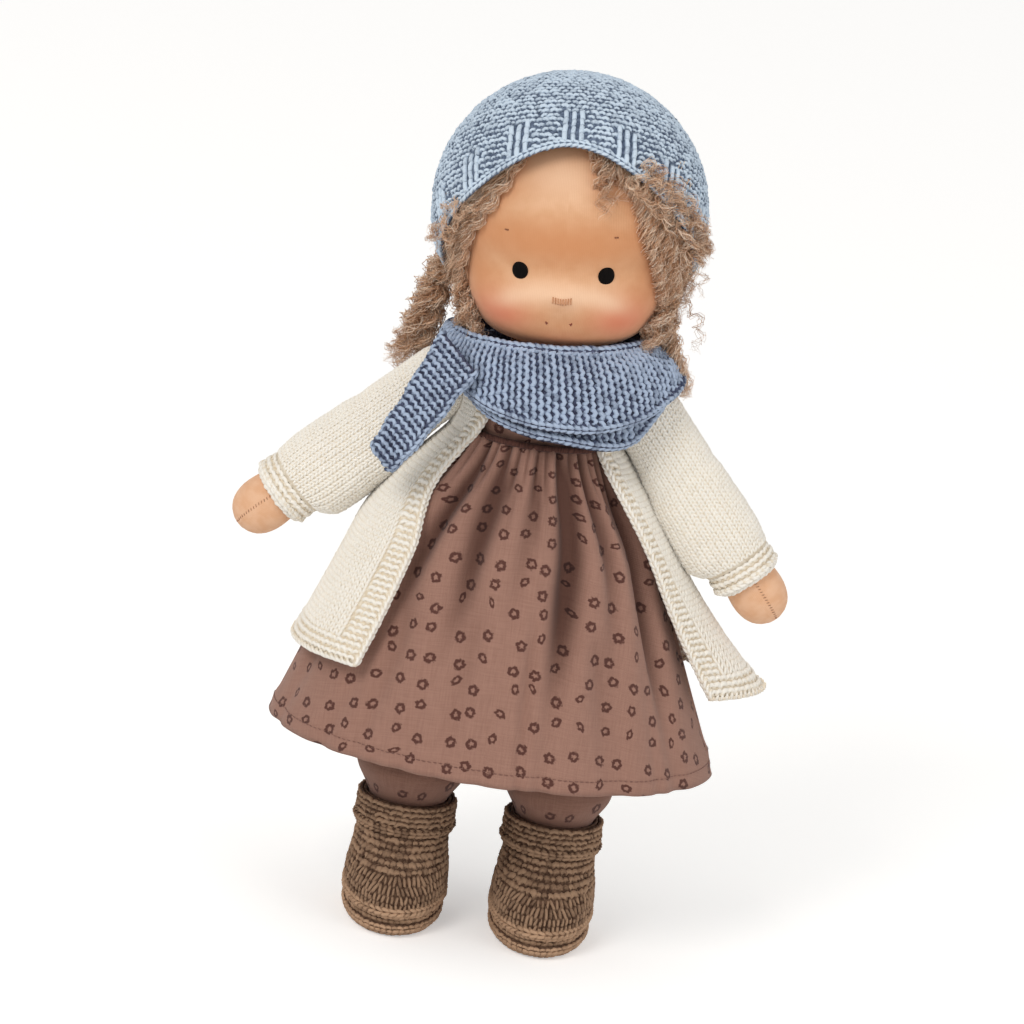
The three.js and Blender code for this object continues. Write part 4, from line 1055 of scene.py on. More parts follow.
def on_face(x, z, outward=0.0):
    """Point on the front of the head at a place across and up from its centre."""
    drop = math.acos(max(-0.98, min(0.98, z / HEAD["half_height"])))
    low, high = -math.pi / 2, math.pi / 2
    for _ in range(30):
        turn = (low + high) / 2
        low, high = (turn, high) if head_point(turn, drop, outward)[0] < x else (low, turn)
    return head_point(turn, drop, outward)


def make_head():
    sides, rows = 160, 120
    turns, drops = np.meshgrid(around(sides), np.arange(1, rows) / rows * math.pi)
    rings = head_point(turns, drops)
    x, y, z = rings[..., 0], rings[..., 1], rings[..., 2]
    front = smooth(-y, 4, 20)
    middle = x + 0.7
    aside = np.abs(middle)

    def patch(across, x_spread, z_middle, z_spread, strength):
        return front * strength * np.exp(-((across / x_spread) ** 2) - ((z - z_middle) / z_spread) ** 2)
    blush = np.maximum(patch(aside - 20, 9.5, -28, 7.5, 0.85), patch(middle, 15, -37.5, 4.5, 0.4))
    # Painted shade: warmer, darker skin towards the face's sides, in the band of the eye line's dent, on the
    # nose bump, round the mouth and under the lip.
    warm_shade = front * smooth(np.hypot(x / 31, (z + 4) / 30), 0.45, 1.05) * 0.7
    for part in (
        patch(middle + 1, 60, -2, 10, 0.85), patch(middle, 3.2, -22, 1.6, 0.55),
        patch(aside - 5.2, 1.6, -28.8, 2.2, 0.75), patch(middle, 5, -32.2, 1.5, 0.5),
        patch(middle, 7, -29, 4, 0.35),
    ):
        warm_shade = np.maximum(warm_shade, part)
    # Painted light: paler skin on the forehead, along the cheeks' tops under the eyes and on the small dome
    # above the mouth. Only the blush is the doll's own colour.
    pale = front * hump(z + 0.01 * middle**2, -18.5, 4) * smooth(27 - aside, 0, 12) * 0.75
    pale = np.maximum(pale, patch(middle + 1.5, 14, 20, 9, 0.6))
    pale = np.maximum(pale, patch(middle, 4.5, -25.2, 1.8, 0.15))
    blush_shade_and_light = {"blush": blush, "warm_shade": warm_shade * (1 - blush), "pale": pale}
    return lofted("head", rings, in_head, face_tricot, blush_shade_and_light, flat=(0.225, 0.125))


def make_eye(name, sign):
    """A satin-stitched disc: a domed patch of thread sewn into the eye line."""
    seat = on_face(-0.5 + sign * FACE["eye_spacing"] / 2, -FACE["eye_drop"])
    ahead = on_face(sign * FACE["eye_spacing"] / 2, -FACE["eye_drop"])
    above = on_face(-0.5 + sign * FACE["eye_spacing"] / 2, -FACE["eye_drop"] + 0.5)
    across, up = unit(ahead - seat), unit(above - seat)
    out = unit(np.cross(across, up))
    across = unit(np.cross(up, out))
    rings = []
    for share, lift in ((0.12, 0.95), (0.45, 0.9), (0.75, 0.75), (0.93, 0.55), (1.0, 0.3), (0.97, -0.6)):
        turn = around(48)
        radius = FACE["eye_radius"] * share * (1 + 0.012 * np.sin(turn * 24))
        rings.append(seat + radius[:, None] * (
            1.06 * np.cos(turn)[:, None] * across + 1.16 * np.sin(turn)[:, None] * up) + lift * out)
    return lofted(name, rings, in_head, eye_thread)


def face_stitches():
    """The sewn mouth corners and nose, and the marks above the eyes."""
    made = []
    for k, sign in enumerate((-1, 1)):
        corner = [on_face(sign * (4.0 + 0.4 * s) - 1.0, -29.6 + 0.25 * s * s, 0.02) for s in (-1, 0, 1)]
        made.append(tube(f"mouth_corner_{k}", corner, 0.24, in_head, mouth_thread, 6))
        down = [on_face(sign * (4.3 - 0.1 * s) - 1.0, -28.9 - 0.35 * s, 0.0) for s in range(4)]
        made.append(tube(f"mouth_pull_{k}", down, 0.22, in_head, mouth_thread, 6))
        mark = [on_face(sign * 18.2 - 1.8 + s * 0.6, 1.0, 0.05) for s in (-1, 0, 1)]
        made.append(tube(f"brow_mark_{k}", mark, 0.28, in_head, seam_thread, 6))
    for k in range(8):
        x = (k - 3.5) * 0.85 - 0.3
        nose = [on_face(x, -22.2 + 0.12 * abs(k - 3.5) + s * 0.55, 0.05) for s in range(5)]
        made.append(tube(f"nose_stitch_{k}", nose, 0.26, in_head, nose_thread, 5))
    return joined("face_stitches", made)


head = make_head()
eyes = {side: make_eye(f"{side}_eye_thread", sign) for side, sign in SIDES.items()}
stitched_face = face_stitches()


# The hat: a knitted bonnet whose rows circle a point behind the crown, with ribs standing on its rim.
def rim_drop(turn):
    """Angle from straight up down to the hat's rim."""
    to_back = (1 - np.cos(turn)) / 2
    share = np.sin(math.pi / 2 * np.minimum(1, to_back * 1.4))
    return np.radians(mix(HAT["front_angle"], HAT["nape_angle"], share))


def tilted(turn, reach):
    """Direction at an angle from the point behind the crown, as x, y, z shares."""
    x, y, z = np.sin(reach) * np.sin(turn), -np.sin(reach) * np.cos(turn), np.cos(reach)
    turned_sine, turned_cosine = math.sin(HAT_TILT), math.cos(HAT_TILT)
    return x, y * turned_cosine + z * turned_sine, -y * turned_sine + z * turned_cosine


def hat_reach(turn):
    """Angle from the point behind the crown to the rim."""
    low, high = np.full(np.shape(turn), 0.9), np.full(np.shape(turn), 2.4)
    for _ in range(24):
        middle = (low + high) / 2
        x, y, z = tilted(turn, middle)
        inside = np.arccos(np.clip(z, -1, 1)) < rim_drop(np.arctan2(x, -y))
        low, high = np.where(inside, middle, low), np.where(inside, high, middle)
    return low


hat_turns = np.linspace(-math.pi, 3 * math.pi, 721)
hat_reaches = hat_reach(hat_turns)


def hat_place(turn, reach, outward=0.0):
    x, y, z = tilted(turn, reach)
    radius = HAT["radius"] - 1.0 + outward
    return stack(radius * x, HAT["set_back"] + radius * y, HAT["drop"] + radius * z)


def hat_face(u, v, outward=0.0):
    """The hat with v from the point behind the crown to the rim."""
    return hat_place(u * TAU, v * np.interp(u * TAU, hat_turns, hat_reaches), outward)


def hat_rows(u, v, outward=0.0):
    """The hat with v in half turns from that point, so that a row keeps its distance from it."""
    return hat_place(u * TAU, v * math.pi, outward)


def hat_spots():
    """Purl rows from the crown down that leave out the ribs on the rim, and the ribs' own stitches."""
    stitch, row = HAT_WORK.stitch, HAT_WORK.row
    radius = HAT["radius"] - 1.0
    purl, rib = [], []
    rng = np.random.default_rng(SEED)
    rib_turns = np.radians((-150, -122, -96, -70, -46, -23, 0, 23, 46, 70, 96, 122, 150, 176))
    longest = hat_reaches.max()
    for j in range(1, int(longest * radius / row) + 1):
        reach = j * row / radius
        count = max(4, round(TAU * radius * math.sin(reach) / stitch))
        turn = (np.arange(count) + (0.5 if j % 2 else 0)) / count * TAU
        left = (np.interp(turn, hat_turns, hat_reaches) - reach) * radius
        for angle, room in zip(turn, left):
            if room < 1.2:
                continue
            near = np.abs((angle - rib_turns + math.pi) % TAU - math.pi).min() * radius * math.sin(reach)
            if 1.2 < room < 13 and near < 4.1:
                continue
            slip, drift = rng.normal(0, (0.2, 0.16)) / radius
            purl.append(((angle + slip / math.sin(reach)) / TAU, (reach + drift) / math.pi, 1, 1))
    for angle in rib_turns:
        for aside in (-2.7, 0, 2.7):
            for up in np.arange(1.8, 12.5, 3.0):
                turn = (angle + aside / (radius * 0.98)) % TAU
                reach = np.interp(turn, hat_turns, hat_reaches)
                rib.append((turn / TAU, (reach - (up + abs(aside) * 0.25) / radius) / math.pi, 1, 1))
    return np.array(purl), np.array(rib)


def make_hat():
    base = thick_sheet("hat_cloth", lambda u, v: hat_face(u, np.maximum(v, 0.012), -0.2),
                       lambda u, v: hat_face(u, np.maximum(v, 0.012), -1.45), 96, 40, True, in_head,
                       hat_ground, flat=(0.27, 0.085))
    purl, rib = hat_spots()
    bumps = knit("hat_stitches", hat_rows, purl, in_head, hat_yarn, HAT_WORK)
    ribs = knit("hat_ribs", hat_rows, rib, in_head, hat_yarn, HAT_RIB_WORK, seed=3)
    rim = round_row(hat_face, 1, 144, -0.6)
    rim_up = round_row(hat_face, 1, 144, 1.0) - rim
    rolled = tube("hat_rim_roll", rim, 1.05, in_head, hat_ground, 10, closed=True)
    chain = edge_stitches("hat_rim_stitches", rim + unit(rim_up) * 0.75, rim_up, in_head, hat_yarn, 2.1, 1.1,
                          True)
    return base, [bumps, ribs, rolled, chain]


hat_cloth, hat_parts = make_hat()


# Cloth round the body, in the body's own frame.
TORSO_WIDTHS = [
    (HIP["height"], TORSO["hips"]), (mix(HIP["height"], WAIST["height"], 0.4), TORSO["hips"]),
    (WAIST["height"], WAIST["half_width"]), (SHOULDER["height"], TORSO["chest"]),
    (mix(SHOULDER["height"], TORSO["top"], 0.6), mix(TORSO["chest"], TORSO["neck"], 0.35)),
    (TORSO["top"], TORSO["neck"]),
]
SKIRT_TOP = GAP * 2 + BODICE["wall"] + SKIRT["wall"] + SKIRT["top_fold"]


def torso_half_width(z):
    return table_value(TORSO_WIDTHS, z)


def torso_half_depth(z):
    return torso_half_width(z) * TORSO["depth_share"]


def bell(share):
    """How far the skirt rounds out on its way down."""
    return SKIRT["bell"] * smooth(share, 0, 0.35) * (1 - share)


def skirt_half_width(share, turn=0.0):
    pressed_by_arm = 0.6 * np.maximum(0, np.sin(turn)) ** 4
    straight = mix(WAIST["half_width"] + SKIRT_TOP, SKIRT["hem_half_width"], share)
    return straight + bell(share) * (1 - pressed_by_arm)


def skirt_half_depth(share):
    waist_depth = torso_half_depth(WAIST["height"]) + SKIRT_TOP
    return mix(waist_depth, SKIRT["hem_half_depth"], np.abs(share) ** 0.85) + 0.6 * bell(share)


# Scarf: an upper wrap over a lower one, both knitted across, so the garter ridges stand up and down.
def wrap_face(wrap, u, v, outward=0.0):
    turn = u * TAU
    front = (1 + np.cos(turn)) / 2
    lift = wrap["lift"] * np.abs(np.sin(turn)) ** 3
    corner = wrap["corner"] * hump((turn + math.pi) % TAU - math.pi, math.radians(CORNER["angle"]),
                                   math.radians(CORNER["spread"]))
    bottom = mix(wrap["back"], wrap["front"], front**1.2) + lift - corner
    share = np.clip(v, 0, 1)
    bulge = wrap["bulge"] * np.sin(math.pi * share)
    uneven = 0.5 * np.sin(turn * 9 + 5 * v) * np.cos(turn * 4 - 8 * v) - 0.2
    reach = bulge + outward + uneven - wrap["inset"] * mix(0.5, 1, v)
    half_width = mix(SCARF["neck_width"], SCARF["half_width"], v) + reach
    half_depth = mix(SCARF["neck_depth"], SCARF["half_depth"], v) + reach
    top = wrap["top"] + wrap["tilt"] * np.sin(turn)
    z = SHOULDER["height"] + mix(top, bottom, share**1.15 + (v - share)) + bulge * 0.6
    spot = oval_point(turn, half_width, half_depth, z, -SCARF["set_forward"] * v * front)
    spot[..., 0] += SCARF["shift"] * v
    return spot


def garter_columns(face, across, down, pitch, bump):
    """Spots in columns that run down the cloth, each column half a bump off its neighbour."""
    us, vs = np.linspace(*across, 300), np.linspace(*down, 60)
    run = length_along(face, us, np.full(len(us), 0.5), "u").mean() * span(across)
    columns = max(2, 2 * round(run / pitch / 2))
    spots = []
    for i in range(columns):
        u = mix(*across, (i + 0.5) / columns)
        depth = length_along(face, np.full(len(vs), u), vs, "v").mean() * span(down)
        count = max(1, round(depth / bump))
        v = mix(*down, (np.arange(count) + (0.25 if i % 2 else 0.75)) / count)
        wide = length_along(face, np.full(count, u), v, "u") * span(across) / columns / pitch
        spots.append(np.stack([np.full(count, u), v, wide, np.full(count, depth / count / bump)], axis=1))
    return np.concatenate(spots)


def make_wrap(name, wrap):
    face = partial(wrap_face, wrap)

    def inner(u, v):
        spot = face(u, v, -SCARF_ACROSS)
        spot[..., 2] -= SCARF_ACROSS
        return spot
    cloth = thick_sheet(f"{name}_cloth", lambda u, v: face(u, v, -0.9), inner, 96, 14, True, in_body,
                        scarf_ground, flat=(0.27, 0.035))
    columns = garter_columns(face, (0, 1), (-0.01, 0.99), WRAP_WORK.stitch, WRAP_WORK.row)
    parts = [knit(f"{name}_stitches", face, columns, in_body, scarf_yarn, WRAP_WORK)]
    for edge, v, out, lean in (("top", 0, -1.3, 0.5), ("bottom", 1, -1.5, -0.6)):
        path = round_row(face, v, 150, out)
        ups = unit(round_row(face, v, 150, 1.0) - path) + np.array([0, 0, lean])
        parts.append(tube(f"{name}_{edge}_roll", path, 1.5, in_body, scarf_ground, 10, closed=True))
        parts.append(edge_stitches(f"{name}_{edge}_chain", path + unit(ups) * 0.9, ups, in_body, scarf_yarn,
                                   2.4, 1.5, True))
    return cloth, parts


def tail_frames(count):
    path = smooth_path([(x, y, SHOULDER["height"] + rise) for x, y, rise in TAIL_PATH], count)
    tangent = unit(np.gradient(path, axis=0))
    turn = Matrix.Rotation(-math.radians(TAIL["forward_turn"]), 3, "Z") @ Matrix.Rotation(
        math.radians(TAIL["tilt_turn"]), 3, "Y")
    across = np.array(turn @ Vector((1, 0, 0)))
    normal = unit(np.cross(tangent, across))
    return path, across, normal


tail_path, tail_across, tail_normal = tail_frames(200)


def tail_face(u, v, outward=0.0):
    spot = np.clip(v, 0, 1) * (len(tail_path) - 1)
    steps = np.arange(len(tail_path))
    centre = points_at(spot, steps, tail_path)
    normal = unit(points_at(spot, steps, tail_normal))
    width = mix(TAIL["width"], TAIL["tip_width"], v) + 0.8 * np.sin(v * 19)
    curl = 1.1 * (2 * u - 1) ** 2
    return centre + tail_across * ((u - 0.5) * width)[..., None] - normal * (outward + 1.4 - curl)[..., None]


def make_tail():
    cloth = thick_sheet("scarf_tail_cloth", lambda u, v: tail_face(u, v, -0.4),
                        lambda u, v: tail_face(u, v, -2.6),
                        14, 36, False, in_body, scarf_ground, flat=(0.016, 0.048))

    def back_face(u, v, outward=0.0):
        return tail_face(u, v, -2.9 - outward)
    across, down = (0.04, 0.96), (0.01, 0.99)
    front = knit_rows("scarf_tail_stitches", tail_face, in_body, scarf_yarn, TAIL_WORK, across, down)
    back = knit_rows("scarf_tail_back_stitches", back_face, in_body, scarf_yarn, TAIL_BACK_WORK, across,
                     down, seed=5)
    edge_spots = [(0.02, v) for v in np.linspace(0, 1, 30)] + [(u, 1.0) for u in np.linspace(0.1, 0.9, 8)]
    edge_spots += [(0.98, v) for v in np.linspace(1, 0, 30)]
    us, vs = np.array(edge_spots).T
    edge = tail_face(us, vs, -1.5)
    away = edge - tail_face(np.full(len(us), 0.5), np.minimum(vs, 0.93), -1.5)
    chain = edge_stitches("scarf_tail_chain", edge + unit(away) * 0.7, away, in_body, scarf_yarn, 2.4, 1.3)
    return cloth, [front, back, chain]


# Cardigan: open in front, its front edges moving apart towards the hem.
def cardigan_face(u, v, outward=0.0):
    pulled_back = 15 * smooth(v, 0.1, 0.28) * (1 - smooth(v, 0.32, 0.6))
    right = np.radians(mix(OPENING["right_top"], OPENING["right_hem"], v) + pulled_back)
    left = np.radians(mix(OPENING["left_top"], OPENING["left_hem"], v))
    turn = mix(left, TAU - right, u)
    z = mix(CARDIGAN["top"], CARDIGAN["hem"], v) - CARDIGAN["back_drop"] * v * (1 - np.cos(turn)) / 2
    share = np.maximum(0, (WAIST["height"] - z) / (WAIST["height"] - SKIRT["hem"]))
    over_skirt = mix(SKIRT["top_fold"], SKIRT["hem_fold"], share) + GAP * 3 + CARDIGAN["wall"]
    over_bodice = BODICE["wall"] + CARDIGAN["ease"] + CARDIGAN["wall"]
    yoke = smooth(z, WAIST["height"], CARDIGAN["top"])
    half_width = mix(skirt_half_width(share, turn) + over_skirt, torso_half_width(z) + over_bodice, yoke)
    half_depth = mix(skirt_half_depth(share) + over_skirt, torso_half_depth(z) + over_bodice, yoke)
    under_arms = 2.5 * hump(z, 164, 14) * np.abs(np.sin(turn)) ** 6
    flare = CARDIGAN["flare"] * (hump(u, 0.113, 0.1) + 0.25 * hump(u, 1, 0.16)) * np.abs(v) ** 3
    ease = under_arms + flare
    wave = 1.1 * smooth(v, 0.3, 1) * np.sin(turn * 5 + 1)
    return oval_point(turn, half_width + ease + wave + outward, half_depth + ease / 2 + wave + outward, z)


def arm_rooms(points, clearance=1.0):
    """Which points stand in the way of a sleeve's round top."""
    root = ARM["root_radius"] + GAP + SLEEVE["wall"] + clearance
    hidden = np.zeros(len(points), bool)
    for side, sign in SIDES.items():
        pivot = np.array([sign * SHOULDER["half_span"], SHOULDER["depth"], SHOULDER["height"]])
        angle = math.radians(ABDUCTION[side])
        axis = np.array([sign * math.sin(angle), 0, -math.cos(angle)])
        away = points - pivot
        along = np.clip(away @ axis, 0, root * 1.6)
        hidden |= np.linalg.norm(away - along[:, None] * axis, axis=1) < root
    return hidden


def cut_for_arms(piece):
    """Opens armholes: takes out faces that stand in a sleeve's room and closes the cut along the wall."""
    work = bmesh.new()
    work.from_mesh(piece.data)
    points = (np.array([vertex.co for vertex in work.verts]) / MM) - np.array(body_middle)
    hidden = arm_rooms(points)
    doomed = [face for face in work.faces if all(hidden[vertex.index] for vertex in face.verts)]
    bmesh.ops.delete(work, geom=doomed, context="FACES")
    rims = [edge for edge in work.edges if edge.is_boundary]
    bmesh.ops.holes_fill(work, edges=rims, sides=0)
    work.to_mesh(piece.data)
    work.free()


def cardigan_edge(us, vs, inward):
    """Points along an edge of the cardigan, and the way out there, away from spots further in."""
    path = cardigan_face(us, vs, -1.2)
    return path, path - cardigan_face(*inward, -1.2)


def make_cardigan():
    cloth = thick_sheet(
        "cardigan_cloth", lambda u, v: cardigan_face(u, v, -0.75),
        lambda u, v: cardigan_face(u, v, -CARDIGAN["wall"] + 0.35), 120, 60, False, in_body, cream_ground,
        flat=(0.29, 0.105),
    )
    above_hem, parts = (0.0, 1 - HEM_BAND), []
    thirds = np.linspace(FRONT_BAND + 0.004, 0.996 - FRONT_BAND, 4)
    for k, name in enumerate(("left_front", "back", "right_front")):
        spots = lay_rows(cardigan_face, CARDIGAN_WORK.stitch, CARDIGAN_WORK.row, thirds[k:k + 2], above_hem,
                         0, 30)
        spots = spots[~arm_rooms(cardigan_face(spots[:, 0], spots[:, 1]), 0.2)]
        parts.append(knit(f"cardigan_{name}_stitches", cardigan_face, spots, in_body, cream_yarn,
                          CARDIGAN_WORK, 11 + k))
    parts.append(knit_rows("cardigan_hem_stitches", cardigan_face, in_body, cream_yarn, HEM_WORK, (0.0, 1.0),
                           (1 - HEM_BAND, 0.995), seed=21))
    for name, reach in (("left", (0.0, FRONT_BAND)), ("right", (1 - FRONT_BAND, 1.0))):
        parts.append(knit_rows(f"cardigan_{name}_band_stitches", cardigan_face, in_body, cream_yarn,
                               BAND_WORK, reach, above_hem, seed=31))
    v = np.linspace(0, 1, 60)
    for name, u in (("left", 0.0), ("right", 1.0)):
        path, ups = cardigan_edge(np.full(60, u), v, (np.full(60, abs(u - 0.03)), v))
        parts.append(tube(f"cardigan_{name}_edge_roll", path, 1.1, in_body, cream_ground, 8))
        parts.append(edge_stitches(f"cardigan_{name}_edge_chain", path + unit(ups) * 0.8, ups, in_body,
                                   cream_yarn, 2.3, 1.2))
    u = np.linspace(0, 1, 160)
    path, ups = cardigan_edge(u, np.ones(160), (u, np.full(160, 0.97)))
    parts.append(edge_stitches("cardigan_hem_chain", path + unit(ups) * 0.4, ups, in_body, cream_yarn, 2.3,
                               1.3))

    def inner_face(u, v, outward=0.0):
        return cardigan_face(u, v, -CARDIGAN["wall"] + 0.3 - outward)
    inside = lay_rows(cardigan_face, INSIDE_WORK.stitch, INSIDE_WORK.row, (0.01, 0.99), (0.3, 0.99))
    seen = inside[(inside[:, 0] < 0.3) | (inside[:, 0] > 0.7)]
    parts.append(knit("cardigan_inside_stitches", inner_face, seen, in_body, cream_yarn, INSIDE_WORK,
                      seed=41))
    cut_for_arms(cloth)
    return cloth, parts


# Sleeves and cuffs, in each arm's own frame: the arm hangs down from its shoulder.
ARM_STRAIGHT = ARM["length"] - ARM["hand_length"]
CUFF_END = ARM["length"] - SLEEVE["short_of_arm"]
KNIT_END = CUFF_END - SLEEVE["cuff_length"]


def sleeve_face(side, u, v, outward=0.0):
    """The surface of one sleeve, which sags on its lower side before the cuff."""
    turn = u * TAU
    z = -KNIT_END * v
    inside = mix(ARM["root_radius"], ARM["wrist_radius"], smooth(-z, 0, ARM_STRAIGHT))
    drawn_in = 1 - smooth(-z, KNIT_END * 0.85, KNIT_END) / 2
    swell = SLEEVE["fullness"] * smooth(-z, ARM["root_radius"], KNIT_END * 0.8) * drawn_in
    crease = 0.5 * hump(v, 0.42, 0.05) + 0.4 * hump(v, 0.62, 0.05) * (1 + np.cos(turn)) / 2
    below = np.maximum(0, -SIDES[side] * np.sin(turn)) ** 1.5
    sag = SLEEVE_SAG[side] * below * smooth(v, 0.12, 0.6) * (1 - smooth(v, 0.9, 1.03))
    radius = inside + GAP + SLEEVE["wall"] + swell + sag - crease + outward
    over_top = smooth(v, -0.001, 0.001)
    return stack(radius * np.sin(turn) * over_top, -radius * np.cos(turn) * over_top, z)


def sleeve_top(u, v, outward=0.0):
    """The round top of the sleeve, v from the crown to the shoulder line."""
    turn, rise = u * TAU, (1 - v) * math.pi / 2
    radius = ARM["root_radius"] + GAP + SLEEVE["wall"] + outward
    return stack(radius * np.cos(rise) * np.sin(turn), -radius * np.cos(rise) * np.cos(turn),
                 radius * np.sin(rise))


def make_sleeve(side):
    place = in_arm[side]
    face = partial(sleeve_face, side)
    rows = [(k / 8, sleeve_top) for k in range(1, 8)] + [(k / 24, face) for k in range(25)]
    rings = [round_row(part, max(v, 0.002), 56, -0.75) for v, part in rows]
    rings += [round_row(part, max(v, 0.002), 56, -SLEEVE["wall"] + 0.25) for v, part in rows[::-1]]
    cloth = lofted(f"{side}_sleeve_cloth", rings, place, cream_ground, flat=(0.09, 0.14))
    seed = 50 if side == "left" else 60
    top = knit_rows(f"{side}_sleeve_top_stitches", sleeve_top, place, cream_yarn, SLEEVE_TOP_WORK, (0, 1),
                    (0.12, 1.0), seed, stagger=0)
    long_part = knit_rows(f"{side}_sleeve_stitches", face, place, cream_yarn, SLEEVE_WORK, (0, 1),
                          (0.0, 0.98), seed + 1, stagger=0, columns=35)
    inner_radius = ARM["wrist_radius"] + GAP * 2

    def cuff_face(u, v, outward=0.0):
        radius = inner_radius + SLEEVE["cuff_wall"] * (1.05 + 0.3 * np.sin(math.pi * v)) + outward
        return oval_point(u * TAU, radius, radius, -mix(KNIT_END + GAP, CUFF_END, v))
    cuff = thick_sheet(f"{side}_cuff_cloth", lambda u, v: cuff_face(u, v, -0.9),
                       lambda u, v: oval_point(u * TAU, inner_radius, inner_radius,
                                               -mix(KNIT_END + GAP, CUFF_END, v)),
                       56, 6, True, place, cream_ground, flat=(0.075, 0.011))
    rounds = knit_rows(f"{side}_cuff_stitches", cuff_face, place, cream_yarn, CUFF_WORK, (0, 1), (-0.1, 1.0),
                       seed + 2)
    rim = round_row(cuff_face, 1, 48, -0.9)
    ups = unit(rim * np.array([1, 1, 0])) + np.array([0, 0, -1.0])
    chain = edge_stitches(f"{side}_cuff_chain", rim + unit(ups) * 0.3, ups, place, cream_yarn, 2.4, 1.5,
                          True, seed + 3)
    return {"cloth": cloth, "parts": [top, long_part], "cuff": cuff, "cuff_parts": [rounds, chain]}


upper_cloth, upper_parts = make_wrap("scarf_upper_wrap", UPPER_WRAP)
lower_cloth, lower_parts = make_wrap("scarf_lower_wrap", LOWER_WRAP)
tail_cloth, tail_parts = make_tail()
cardigan_cloth, cardigan_parts = make_cardigan()
sleeves = {side: make_sleeve(side) for side in SIDES}


# Stuffed body under the clothes.
def make_torso():
    seat_room = HIP["seat_radius"] + GAP + TROUSERS["seat_wall"] + 1
    rows = np.linspace(HIP["height"] + seat_room * 0.55, TORSO["top"] - 1.5, 26)
    rings = []
    for z in rows:
        dimple = 1.6 * hump(z, HIP["height"] + seat_room, 6)
        rings.append(oval_ring(torso_half_width(z) - dimple, torso_half_depth(z) - dimple, z))
    lifted = [rings[0] * np.array([0.9, 0.8, 1]) + np.array([0, 0, 4.0])]
    top = oval_ring(NECK["radius"] + 1.6, (NECK["radius"] + 1.6) * 0.95, TORSO["top"])
    return lofted("torso", lifted + rings + [top], in_body, body_tricot, flat=(0.15, 0.1))


def make_neck():
    foot = TORSO["top"] - 1
    dented = ((0.9, 0), (1, 1), (0.94, 2.6), (1, 4.2))
    profile = [(NECK["radius"] * share, foot + lift) for share, lift in dented]
    for angle in np.linspace(0, 1.5, 10):
        profile.append((NECK["radius"] * math.cos(angle), NECK["pivot"] + NECK["radius"] * math.sin(angle)))
    return lofted("neck", [oval_ring(radius, radius, z) for radius, z in profile], in_body, body_tricot)


def make_neck_tie():
    turn = np.linspace(0, 3 * TAU, 150)
    radius = NECK["radius"] + 1.0
    path = stack(radius * np.sin(turn), -radius * np.cos(turn), TORSO["top"] + 0.7 + turn / TAU * 0.55)
    return tube("neck_tie", path, 0.35, in_body, seam_thread, 6)


def make_seat():
    """The stuffed roll across the hips, and the trousers' seat sewn round it."""
    turn = around(48)
    width, radius = HIP["seat_half_width"], HIP["seat_radius"]
    rounding = radius / 2

    def rings(rows):
        return [stack(x, r * np.cos(turn), HIP["height"] + r * np.sin(turn)) for x, r in rows]

    def profile(extra):
        right = [(width + extra - rounding * (1 - math.sin(a)), radius + extra - rounding * (1 - math.cos(a)))
                 for a in np.linspace(math.pi / 2, 0, 6)]
        return [(-x, r) for x, r in right] + right[::-1]
    seat = lofted("seat", rings(profile(0)), in_body, body_tricot, flat=(0.07, 0.12))
    thick = width + GAP + TROUSERS["seat_wall"] - 0.1
    rows = [(-thick, 8), *profile(thick - width), (thick, 8), (width + GAP, 8), *profile(GAP)[::-1],
            (-width - GAP, 8)]
    cloth = looped("trouser_seat_cloth", rings(rows), in_body, trouser_cloth, flat=(0.13, 0.2))
    return seat, cloth


# Dress: a plain bodice, and a skirt gathered on a dark piping at the waist.
FOLDS = [
    # turns at the waist and at the hem in degrees, depth, half width in degrees, start and end down the skirt
    (25, 14, 1.5, 6.5, 0.02, 0.72), (62, 58, 1.1, 7, 0.1, 0.8), (-14, -23, 1.15, 6, 0.02, 0.62),
    (-34, -48, 1.0, 6, 0.02, 0.6), (4, -2, 0.75, 4.5, 0.0, 0.5), (41, 38, 0.8, 5, 0.0, 0.6),
    (-64, -72, 0.9, 7, 0.1, 0.75), (-24, -30, 0.6, 4, 0.0, 0.3), (52, 50, 0.7, 4, 0.0, 0.4),
    (12, 9, 0.55, 3, 0.0, 0.28), (9, 8, 0.3, 2.5, 0.5, 1.0), (-33, -36, 0.4, 6, 0.5, 1.0),
    (-8, -12, 0.4, 6, 0.45, 1.0), (30, 34, 0.45, 7, 0.5, 1.0), (90, 92, 0.9, 7, 0.05, 1.0),
    (118, 120, 0.9, 8, 0.05, 1.1), (146, 147, 0.9, 7, 0.05, 1.0), (172, 174, 1.0, 8, 0.05, 1.1),
    (-98, -97, 0.9, 7, 0.05, 1.1), (-126, -124, 1.0, 8, 0.05, 1.0), (-152, -150, 0.9, 7, 0.05, 1.1),
]


def puffs(angle):
    """Broad rounded ridges with narrow creases between them."""
    return 2 * np.abs(np.cos(angle / 2)) ** 0.7 - 1.2


def skirt_folds(turn, v):
    """How far the cloth stands off its middle line: 1 on a ridge and below -1 in a deep valley."""
    height = 0.75 - 0.35 * (1 - smooth(v, 0.1, 0.4)) + np.zeros(np.broadcast(turn, v).shape)
    for waist_turn, hem_turn, depth, spread, start, end in FOLDS:
        middle = np.radians(mix(waist_turn, hem_turn, v))
        away = (turn - middle + math.pi) % TAU - math.pi
        fading = 1 - 0.85 * smooth(v, end - 0.4, end + 0.15)
        strength = depth * smooth(v, start - 0.12, start + 0.12) * fading
        height = height - 2.7 * strength * hump(away, 0, math.radians(spread) * mix(1.2, 0.5, v))
    fine = 0.9 * puffs(turn * 44 + 1.5 * np.sin(turn * 7)) * (1 - smooth(v, 0.04, 0.2))
    wide = 0.7 * puffs(turn * 21 + 2 * np.sin(turn * 3)) * (1 - smooth(v, 0.12, 0.42))
    return height + fine + wide


